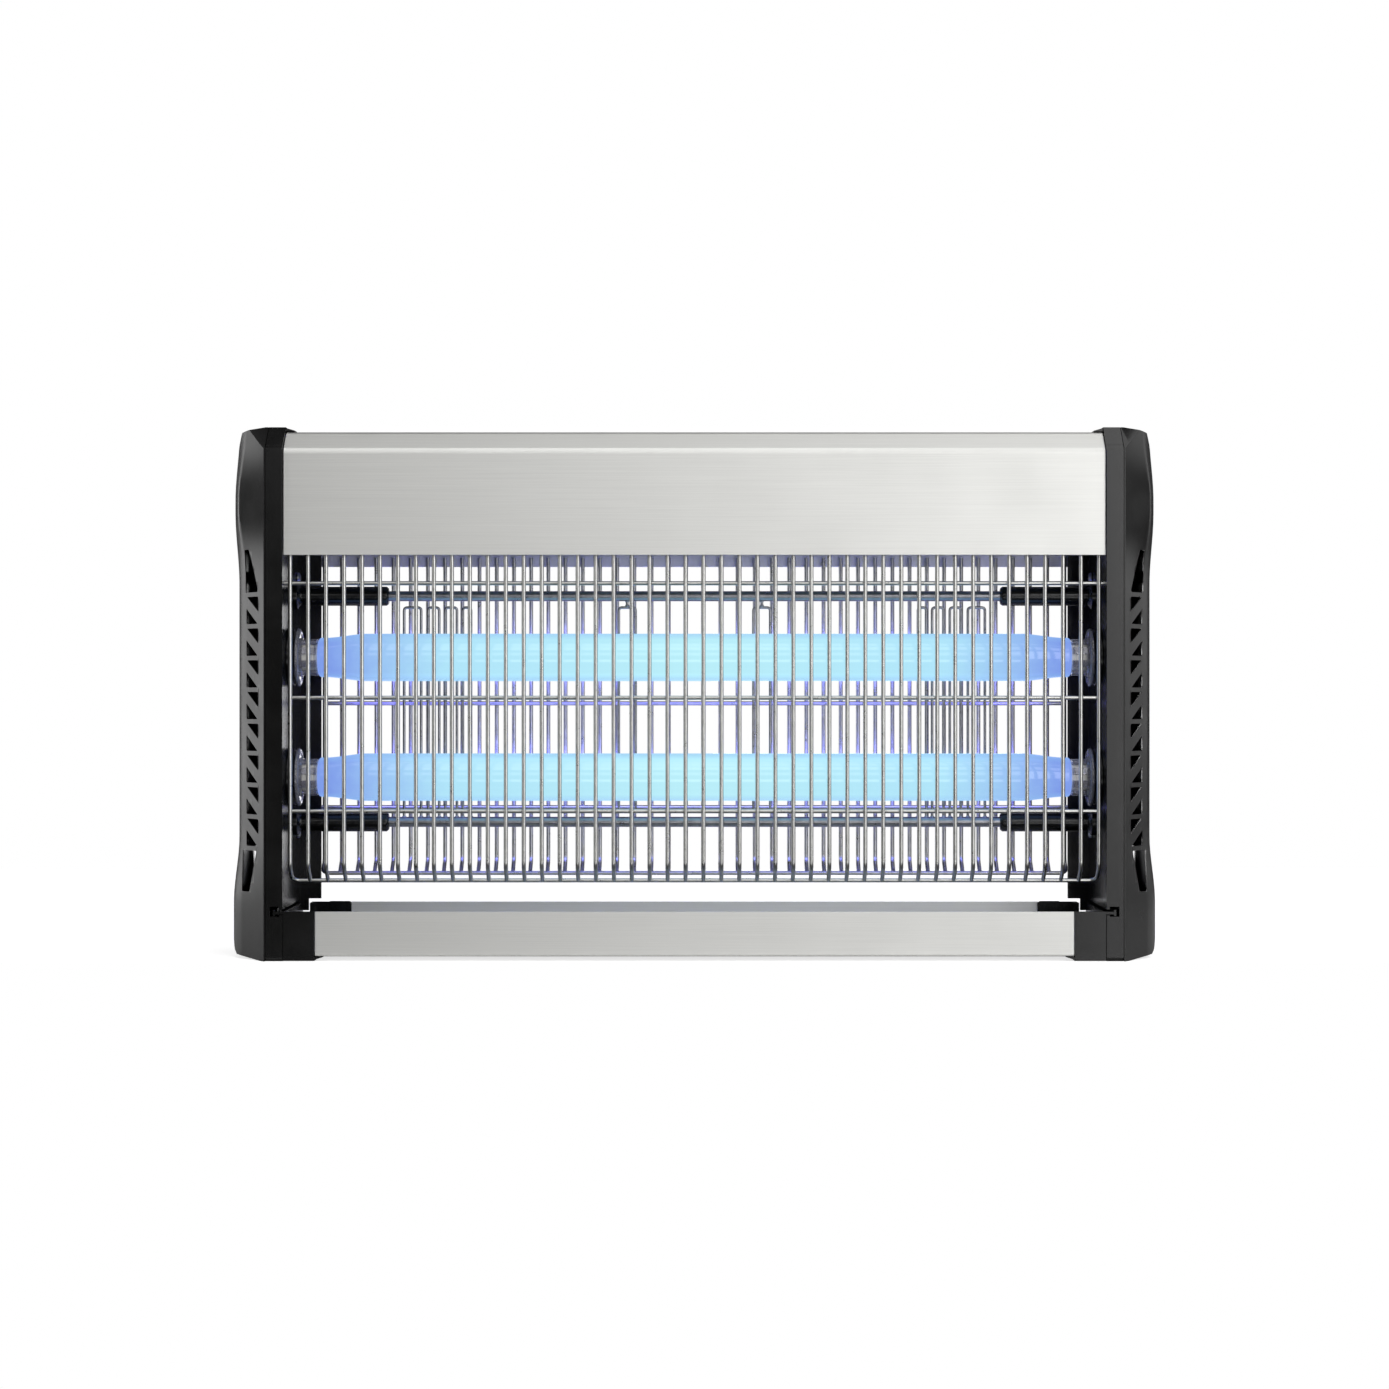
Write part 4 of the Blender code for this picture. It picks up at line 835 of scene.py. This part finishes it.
def makeElectrodes():
    shapes = {"upper": bmesh.new(), "lower": bmesh.new()}
    y, wire, rodZ = grid["y"], grid["wire"], grid["rodZ"]
    topFree, lowFree = rodZ["upper"] - grid["freeGap"], rodZ["lower"] + grid["freeGap"]
    quarter = math.pi / 2
    nuggets = {"upper": [], "lower": []}
    for side in sides.values():
        for x0, x1 in grid["hairpins"]:  # an inverted U welded to the lower rod
            turn = (quarter, grid["bend"], Vector((0, -side, 0)))
            rise = topFree - grid["bend"] - rodZ["lower"]
            drawWire(shapes["lower"], (side * x0, y, rodZ["lower"]), (0, 0, 1),
                     [rise, turn, abs(x0 - x1) - 2 * grid["bend"], turn, rise], wire, 10)
            nuggets["lower"] += [(side * x0, rodZ["lower"]), (side * x1, rodZ["lower"])]
        x0, x1 = grid["loop"]
        turn = (quarter, grid["bend"], Vector((0, -side, 0)))
        rise, width = topFree - lowFree - 2 * grid["bend"], abs(x0 - x1) - 2 * grid["bend"]
        drawWire(shapes["upper"], (side * x0, y, lowFree + grid["bend"]), (0, 0, 1),
                 [rise, turn, width, turn, rise, turn, width, turn], wire, 10, closed=True)
        stem = side * (x0 + x1) / 2
        drawWire(shapes["upper"], (stem, y, rodZ["upper"]), (0, 0, -1), [grid["freeGap"]], wire, 10)
        nuggets["upper"] += [(stem, rodZ["upper"]), (stem, topFree + 1.2 * wire)]
        for step in grid["combSteps"]:
            x = side * grid["combPitch"] * (step + 0.5)
            rod, far = ("upper", lowFree) if (step % 2 == 0) == (side > 0) else ("lower", topFree)
            drawWire(shapes[rod], (x, y, rodZ[rod]), (0, 0, math.copysign(1, far - rodZ[rod])),
                     [abs(far - rodZ[rod])], wire, 10)
            nuggets[rod].append((x, rodZ[rod]))
    for level, bm in shapes.items():
        drawWire(bm, (-grid["rodReach"], y, rodZ[level]), (1, 0, 0), [2 * grid["rodReach"]], grid["rod"],
                 24)
        toward = -1 if level == "upper" else 1
        addNuggets(bm, [(x, y, z + toward * 2.7 * mm if z == rodZ[level] else z) for x,
                        z in nuggets[level]],
                   1.35 * mm, (1, 1, 0.8))
        piece = addObject(f"gridElectrode.{level}", bm, gridSteel)
        shade(piece, 50)
        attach(piece, "frame")
        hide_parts(f"hv_{level}_electrode")


sleeve = {"radius": 5.3 * mm, "bore": 3.1 * mm, "flange": 7.5 * mm, "flangeDepth": 3 * mm,
          "bead": 4.5 * mm, "ribs": 6}


def makeSleeve(level, word, side):
    low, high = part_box(f"hv_{level}_sleeve_right")
    start, wall, r, bore = low.x, high.x, sleeve["radius"], sleeve["bore"]
    flange, depth, bead = sleeve["flange"], sleeve["flangeDepth"], sleeve["bead"]
    profile = [(start, bore), (start, r - 1.3 * mm), (start + 0.4 * mm, r - 0.7 * mm),
               (start + 1.4 * mm, r),
               (start + bead, r), (start + bead + 0.5 * mm, r - 0.35 * mm),
               (wall - depth - 2 * mm, r - 0.35 * mm),
               (wall - depth - 0.8 * mm, r), (wall - depth, r + 0.9 * mm),
               (wall - depth + 0.4 * mm, flange - 0.3 * mm),
               (wall - depth + 0.8 * mm, flange), (wall, flange), (wall, bore)]
    bm = bmesh.new()
    centre = nodeCentre(f"hv_{level}_sleeve_right")
    turnProfile(bm, profile, 40, centre=(0, centre.y, centre.z))
    for rib in range(sleeve["ribs"]):  # low stiffening ribs run along the barrel
        angle = math.tau * rib / sleeve["ribs"]
        made = addBox(bm, (start + bead, wall - depth), (-0.4 * mm, 0.4 * mm),
                      (r - 0.9 * mm, r - 0.02 * mm))
        bmesh.ops.rotate(bm, cent=(0, 0, 0), matrix=Matrix.Rotation(angle, 3, "X"), verts=made)
        bmesh.ops.translate(bm, vec=(0, centre.y, centre.z), verts=made)
    mirrorTo(bm, side)
    piece = addObject(f"insulatorSleeve.{level}.{word}", bm, blackPlastic)
    shade(piece)
    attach(piece, "frame")
    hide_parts(f"hv_{level}_sleeve_{word}")


lamp = {"radius": 13 * mm, "neck": 10.8 * mm, "shoulderStart": 180.5 * mm, "shoulderEnd": 200.5 * mm,
        "segments": 72, "capRadius": 7.8 * mm, "pin": 1.2 * mm, "pinOffset": 6.35 * mm,
        "pinTip": 221.4 * mm, "ringBore": 8.3 * mm, "ringRadius": 16 * mm, "ringNeck": 10.4 * mm,
        "fingers": 8, "flangeStart": 215.4 * mm}


def makeLampGlassTube(level):
    low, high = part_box(f"lamp_{level}_glass")
    centre = (low + high) / 2
    end, shoulder, neckStart = high.x, lamp["shoulderStart"], lamp["shoulderEnd"]
    half = [(0, lamp["radius"]), (shoulder * 0.5, lamp["radius"])]
    for step in range(9):  # the glass is drawn in to the neck in a soft S
        part = step / 8
        x = shoulder + part * (neckStart - shoulder)
        narrowing = (0.5 * part + 0.5 * smoothStep(0, 1, part)) * (lamp["radius"] - lamp["neck"])
        half.append((x, lamp["radius"] - narrowing))
    for step in range(7):  # and its lip is rounded over
        angle = step / 6 * math.pi / 2
        half.append((end - 1.8 * mm + 1.8 * mm * math.sin(angle),
                     lamp["neck"] - 1.8 * mm * (1 - math.cos(angle))))
    bottom = [(end, lamp["capRadius"] + 0.3 * mm), (end - 3 * mm, lamp["capRadius"] + 0.3 * mm)]
    outer = half + bottom
    mirrored = [(-x, r) for x, r in reversed(outer) if x > 0]
    bm = bmesh.new()
    turnProfile(bm, mirrored + outer, lamp["segments"], closed=False, centre=(0, centre.y, centre.z))
    rims = [edge for edge in bm.edges if edge.is_boundary]
    bmesh.ops.holes_fill(bm, edges=rims)
    piece = addObject(f"lampTube.{level}", bm, lampGlass)
    shade(piece, 60)
    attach(piece, f"lamp_{level}")
    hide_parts(f"lamp_{level}_glass")


def makeLampCap(level, word, side):
    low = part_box(f"lamp_{level}_cap_right")[0]
    centre = nodeCentre(f"lamp_{level}_glass")
    start, end, r = low.x, 215.5 * mm, lamp["capRadius"]
    profile = [(start, 0), (start, r - 1.2 * mm), (start + 0.5 * mm, r - 0.4 * mm), (start + 1.3 * mm, r),
               (start + 3.2 * mm, r), (start + 3.5 * mm, r - 0.35 * mm), (start + 4.1 * mm, r - 0.35 * mm),
               (start + 4.4 * mm, r), (end - 0.6 * mm, r), (end, r - 0.6 * mm), (end, 0)]
    bm = bmesh.new()
    turnProfile(bm, profile, 40, closed=False, centre=(0, centre.y, centre.z))
    for offset in (-lamp["pinOffset"], lamp["pinOffset"]):
        length = lamp["pinTip"] - end + mm
        addBar(bm, (lamp["pinTip"] - length / 2, centre.y, centre.z + offset), lamp["pin"], length,
               (1, 0, 0), 16)
    mirrorTo(bm, side)
    piece = addObject(f"lampCap.{level}.{word}", bm, whiteCeramic)
    shade(piece)
    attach(piece, f"lamp_{level}")
    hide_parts(f"lamp_{level}_cap_{word}")


def makeLockRing(level, word, side):
    low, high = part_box(f"lamp_{level}_lock_ring_right")
    centre = nodeCentre(f"lamp_{level}_glass")
    bore, neck, rim, flange = lamp["ringBore"], lamp["ringNeck"], lamp["ringRadius"], lamp["flangeStart"]
    profile = [(flange - 1.2 * mm, bore), (flange - 1.2 * mm, neck), (flange, neck + 0.6 * mm),
               (flange + 0.3 * mm, rim - 2.2 * mm), (flange - 0.1 * mm, rim - 1.6 * mm),
               (flange + 0.2 * mm, rim - 0.5 * mm), (flange + 0.9 * mm, rim), (high.x - 0.5 * mm, rim),
               (high.x, rim - 0.6 * mm), (high.x, bore)]
    bm = bmesh.new()
    turnProfile(bm, profile, 64, centre=(0, centre.y, centre.z))
    for finger in range(lamp["fingers"]):  # springy fingers hold the cap, and it shows between them
        angle = math.tau * (finger + 0.5) / lamp["fingers"]
        made = addBox(bm, (low.x, flange - 0.8 * mm), (-1.7 * mm, 1.7 * mm),
                      (bore + 0.1 * mm, neck - 0.3 * mm))
        bmesh.ops.rotate(bm, cent=(0, 0, 0), matrix=Matrix.Rotation(angle, 3, "X"), verts=made)
        bmesh.ops.translate(bm, vec=(0, centre.y, centre.z), verts=made)
    mirrorTo(bm, side)
    piece = addObject(f"lockRing.{level}.{word}", bm, clearPlastic)
    shade(piece)
    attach(piece, f"lamp_{level}")
    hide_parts(f"lamp_{level}_lock_ring_{word}")


def makeLampHolder(level, word, side):
    low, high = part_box(f"lamp_{level}_holder_right")
    centre = nodeCentre(f"lamp_{level}_glass")
    start, end, r, bore = low.x, high.x, (high.z - low.z) / 2, lamp["ringBore"]
    profile = [(start + 0.8 * mm, bore), (start, bore + 0.8 * mm), (start, r - 2.6 * mm),
               (start + 0.5 * mm, r - 2.2 * mm),
               (start + 0.5 * mm, r - 1.4 * mm), (start + 0.9 * mm, r - 0.4 * mm), (start + 1.5 * mm, r),
               (end, r),
               (end, bore)]
    bm = bmesh.new()
    turnProfile(bm, profile, 56, centre=(0, centre.y, centre.z))
    mirrorTo(bm, side)
    piece = addObject(f"lampHolder.{level}.{word}", bm, blackPlastic)
    shade(piece)
    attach(piece, "frame")
    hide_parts(f"lamp_{level}_holder_{word}")


screw = {"recessWidth": 0.34, "recessReach": 1.15, "recessDepth": 0.5}  # parts of the head


def makeScrew(node):
    low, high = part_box(node)
    centre = (low + high) / 2
    r = (high.z - low.z) / 2
    shank = r / 2
    inward = -math.copysign(1, centre.x) if node.startswith("cover") else math.copysign(1, centre.x)
    length = high.x - low.x
    headH = shank * 1.2
    bm = bmesh.new()
    profile = [(-length / 2, 0), (-length / 2 + shank, shank * 0.9)]
    turns = int((length - headH - shank) / (0.9 * mm))
    for turn in range(turns):  # shallow rings stand for the thread
        x = -length / 2 + shank + turn * 0.9 * mm
        profile += [(x + 0.25 * mm, shank), (x + 0.6 * mm, shank * 0.82)]
    seat = length / 2 - headH
    profile += [(seat, shank), (seat, r), (seat + headH * 0.35, r), (seat + headH * 0.75, r * 0.82),
                (seat + headH, r * 0.5), (seat + headH, 0)]
    turnProfile(bm, profile, 24, closed=False)
    bmesh.ops.scale(bm, vec=(inward, 1, 1), verts=bm.verts)
    bmesh.ops.translate(bm, vec=centre, verts=bm.verts)
    piece = addObject(f"panScrew.{node[:5]}.{node.split('_')[2]}.{node[-1]}", bm, zincSteel)
    top, deep = length / 2 + mm, length / 2 - headH * screw["recessDepth"]
    wide, reach = r * screw["recessWidth"] / 2, r * screw["recessReach"] / 2
    for across, along in ((wide, reach), (reach, wide)):
        recess = bmesh.new()
        addBox(recess, sorted((deep, top)), (-across, across), (-along, along))
        bmesh.ops.scale(recess, vec=(inward, 1, 1), verts=recess.verts)
        bmesh.ops.translate(recess, vec=centre, verts=recess.verts)
        carve(piece, recess)
    shade(piece)
    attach(piece, "frame")
    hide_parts(node)


def makeGland():
    low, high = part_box("cord_gland")
    centre = (low + high) / 2
    flange, bore, barrel = (high.x - low.x) / 2, 3.5 * mm, 5.9 * mm
    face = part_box("top_housing")[1].y + 0.3 * mm - low.y
    end = high.y - low.y
    profile = [(0, bore), (0, barrel - 1.2 * mm), (1.2 * mm, barrel - 0.2 * mm)]
    for groove in range(3):
        y = 2.5 * mm + groove * 3 * mm
        profile += [(y, barrel), (y + 1.2 * mm, barrel), (y + 1.5 * mm, barrel - 0.5 * mm),
                    (y + 2.4 * mm, barrel - 0.5 * mm)]
    profile += [(face, barrel), (face, flange - 0.3 * mm), (face + 0.3 * mm, flange),
                (end - 0.6 * mm, flange),
                (end - 0.1 * mm, flange - 0.6 * mm), (end, bore + 1.4 * mm), (end - 0.5 * mm, bore)]
    bm = bmesh.new()
    turnProfile(bm, profile, 40, axis=(0, 1, 0), centre=(centre.x, low.y, centre.z))
    piece = addObject("cordGlandBush", bm, blackPlastic)
    shade(piece)
    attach(piece, "frame")
    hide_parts("cord_gland")


chassis = {"sheet": 1.2 * mm, "foldRadius": 1.6 * mm, "screwZ": 238 * mm, "screwY": 20 * mm,
           "hole": 2.3 * mm}


def makeChassis():
    low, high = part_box("chassis_plate")
    section = [(x, low.y, z) for x, z in ((low.x, high.z), (low.x, low.z), (high.x, low.z),
                                          (high.x, high.z))]
    piece = foldSheet("chassisSheet", section, (0, high.y - low.y, 0), chassis["sheet"],
                      chassis["foldRadius"],
                      zincSteel, 5)
    holes = bmesh.new()
    for side in sides.values():
        for y in (-chassis["screwY"], chassis["screwY"]):
            addBar(holes, (side * high.x, y, chassis["screwZ"]), chassis["hole"], 8 * mm, (1, 0, 0))
    carve(piece, holes)
    roundEdges(piece, 0.2 * mm, 2, 50)
    shade(piece)
    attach(piece, "frame")
    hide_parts("chassis_plate")


def makeBallast(node):
    low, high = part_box(node)
    centre = (low + high) / 2
    can, tab = 48 * mm, 1.5 * mm
    bm = bmesh.new()
    addBox(bm, (centre.x - can, centre.x + can), (low.y, high.y), (low.z, high.z))
    walls = [e for e in bm.edges if max(v.co.z for v in e.verts) > high.z - mm]
    bevelEdges(bm, walls, 2.5 * mm, 5)
    piece = addObject("ballastCan." + node.split("_")[1], bm, paintedCan)
    feet = bmesh.new()
    addBox(feet, (low.x, high.x), (low.y + 4 * mm, high.y - 4 * mm), (low.z, low.z + tab))
    ends = [e for e in feet.edges if abs(e.verts[0].co.z - e.verts[1].co.z) > tab / 2]
    bevelEdges(feet, ends, 4 * mm, 5)
    carve(piece, feet, "UNION")
    holes = bmesh.new()
    for x in (low.x + 5 * mm, high.x - 5 * mm):
        addBar(holes, (x, centre.y, low.z), 2.1 * mm, 6 * mm, (0, 0, 1))
    for y in (-8 * mm, 8 * mm):  # two long dimples stiffen the lid
        addBar(holes, (centre.x, y, high.z + 3.4 * mm), 4 * mm, 1.5 * can, (1, 0, 0), 32)
    carve(piece, holes)
    roundEdges(piece, 0.25 * mm, 2, 45)
    shade(piece)
    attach(piece, "frame")
    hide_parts(node)


def makeTransformer():
    low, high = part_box("hv_transformer")
    centre = (low + high) / 2
    bm = bmesh.new()
    addBox(bm, (centre.x - 26 * mm, centre.x + 26 * mm), (-12 * mm, 12 * mm), (low.z, high.z))
    addBox(bm, (low.x, high.x), (-11 * mm, 11 * mm), (low.z, low.z + 1.5 * mm))
    piece = addObject("transformerCore", bm, laminations)
    holes = bmesh.new()
    for x in (low.x + 4 * mm, high.x - 4 * mm):
        addBar(holes, (x, 0, low.z), 1.8 * mm, 8 * mm, (0, 0, 1))
    carve(piece, holes)
    roundEdges(piece, 0.3 * mm, 2)
    shade(piece)
    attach(piece, "frame")
    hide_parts("hv_transformer")
    for face in (-1, 1):  # the windings stand out of both sides of the core
        coil = bmesh.new()
        addBox(coil, (centre.x - 17 * mm, centre.x + 17 * mm), sorted((face * 12 * mm, face * 22 * mm)),
                      (low.z + 10 * mm, low.z + 34 * mm))
        corners = [e for e in coil.edges if all(abs(v.co.y) > 20 * mm for v in e.verts)]
        bevelEdges(coil, corners, 4 * mm, 6)
        winding = addObject(f"transformerWinding.{'front' if face < 0 else 'rear'}", coil, windingTape)
        shade(winding)
        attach(winding, "frame")


def makeTerminalBlock():
    low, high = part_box("terminal_block")
    ways, pitch = 5, (high.x - low.x) / 5
    bm = bmesh.new()
    addBox(bm, (low.x, high.x), (low.y, high.y), (low.z, low.z + 9 * mm))
    piece = addObject("terminalBody", bm, whiteCeramic)
    towers, bores = bmesh.new(), bmesh.new()
    for way in range(ways):
        x = low.x + (way + 0.5) * pitch
        addBox(towers, (x - 0.36 * pitch, x + 0.36 * pitch), (low.y + mm, high.y - mm),
               (low.z + 8 * mm, high.z))
        for y in (-3.6 * mm, 3.6 * mm):
            addBar(bores, (x, (low.y + high.y) / 2 + y, high.z), 1.7 * mm, 5 * mm, (0, 0, 1), 20)
        addBar(bores, (x, (low.y + high.y) / 2, low.z + 5 * mm), 2.0 * mm, 30 * mm, (0, 1, 0), 20)
    carve(piece, towers, "UNION")
    carve(piece, bores)
    roundEdges(piece, 0.3 * mm, 2)
    shade(piece)
    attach(piece, "frame")
    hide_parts("terminal_block")


makeHousing()
makeTrayPan()
print("sheet metal made")
for word, side in sides.items():
    makeTrayEnd(word, side)
    makeEndFrame(word, side)
    makeEndCover(word, side)
print("mouldings made")
makeGuard("guardBasket.front", -1, "front_guard", "guard")
makeGuard("guardBasket.rear", 1, "rear_guard", "frame")
makeElectrodes()
print("wire work made")
for level in lampLevels:
    makeLampGlassTube(level)
    for word, side in sides.items():
        makeLampCap(level, word, side)
        makeLockRing(level, word, side)
        makeLampHolder(level, word, side)
        makeSleeve(level, word, side)
print("lamps made")
for node in sorted(frame["nodes"]):
    if "screw" in node:
        makeScrew(node)
makeGland()
makeChassis()
for node in ("ballast_upper_lamp", "ballast_lower_lamp"):
    makeBallast(node)
makeTransformer()
makeTerminalBlock()
print("fixings and electrics made")


studio = {"floorSize": (1.7, 0.9), "floorCentreY": 0.40, "floorGlow": 0.72, "ambient": 0.05, "white": 1.0,
          "cameraDistance": 1.730, "cameraHeight": 143.8 * mm, "lens": 81.1, "sensor": 36}
# place, size and watts of each softbox, all aimed at the middle of the object
softboxes = {"keyRight": ((0.95, -1.9, 0.55), (1.1, 1.4), 14.5),
             "front": ((0, -2.1, 0.75), (1.2, 0.5), 2.6),
             "frontLow": ((0.2, -2.0, -0.45), (1.0, 0.4), 3.1),
             "highFront": ((0.3, -1.4, 1.5), (1.6, 0.5), 5),
             "overhead": ((0.2, -0.3, 1.8), (2.2, 1.2), 12.5),
             "sideLeft": ((-1.8, -0.75, 0.45), (0.8, 1.2), 4.1),
             "sideRight": ((1.8, -0.75, 0.45), (0.8, 1.2), 5.5),
             "backLeft": ((-1.5, 0.70, 0.15), (1.0, 1.2), 6.5),
             "backRight": ((1.5, 0.70, 0.50), (0.9, 0.9), 2.0),
             "rear": ((0.20, 1.9, 0.15), (0.36, 0.5), 1.7)}
lampSpill = {"behind": 15 * mm, "size": (0.40, 0.02), "watts": 0.22, "colour": "#7a70ff"}


def makeFloor():
    bm = bmesh.new()
    bmesh.ops.create_grid(bm, x_segments=1, y_segments=1, size=0.5)
    bmesh.ops.scale(bm, vec=(*studio["floorSize"], 1), verts=bm.verts)
    bmesh.ops.translate(bm, vec=(0, studio["floorCentreY"], 0), verts=bm.verts)
    material, tree, shader = newMaterial("paleStudioFloor", {"Roughness": 0.7,
                                                             "Base Color": toLinear("#f2f2f2"),
                                                             "Emission Color": toLinear("#ffffff")})
    path = addNode(tree, "ShaderNodeLightPath")
    glow = addNode(tree, "ShaderNodeMath", {"operation": "MULTIPLY"}, {1: studio["floorGlow"]},
                   {0: path.outputs["Is Camera Ray"]})
    tree.links.new(glow.outputs["Value"], shader.inputs["Emission Strength"])
    floor = addObject("studioFloor", bm, material, closed=False)


def makeWorld():
    world = bpy.data.worlds.new("studioWorld")
    bpy.context.scene.world = world
    world.use_nodes = True
    tree = world.node_tree
    background = tree.nodes["Background"]
    path = addNode(tree, "ShaderNodeLightPath")
    level = addNode(tree, "ShaderNodeMapRange", values={"To Min": studio["ambient"],
                                                        "To Max": studio["white"]},
                    links={"Value": path.outputs["Is Camera Ray"]})
    tree.links.new(level.outputs["Result"], background.inputs["Strength"])
    background.inputs["Color"].default_value = (1, 1, 1, 1)


def addSoftbox(name, location, target, size, watts, colour="#ffffff"):
    data = bpy.data.lights.new(name, "AREA")
    data.shape = "RECTANGLE"
    data.size, data.size_y = size
    data.energy = watts
    data.color = toLinear(colour)[:3]
    light = placeObject(name, data)
    light.location = location
    light.rotation_euler = (Vector(target) - Vector(location)).to_track_quat("-Z", "Y").to_euler()
    light.visible_camera = False


def makeLights():
    for name, (location, size, watts) in softboxes.items():
        addSoftbox(name, location, (0, 0, 0.15), size, watts)
    for level in lampLevels:  # the tubes throw violet light back on the grid and the rear guard
        centre = nodeCentre(f"lamp_{level}_glass")
        addSoftbox(f"glow.{level}", (0, centre.y + lampSpill["behind"], centre.z), (0, 1, centre.z),
                   lampSpill["size"], lampSpill["watts"], lampSpill["colour"])


def makeCamera():
    data = bpy.data.cameras.new("productCamera")
    data.lens = studio["lens"]
    data.sensor_width = studio["sensor"]
    camera = placeObject("productCamera", data)
    camera.location = (0, -studio["cameraDistance"], studio["cameraHeight"])
    camera.rotation_euler = (math.pi / 2, 0, 0)
    bpy.context.scene.camera = camera


makeFloor()
makeWorld()
makeLights()
makeCamera()
bpy.context.scene.view_settings.view_transform = "Standard"
print("studio made")
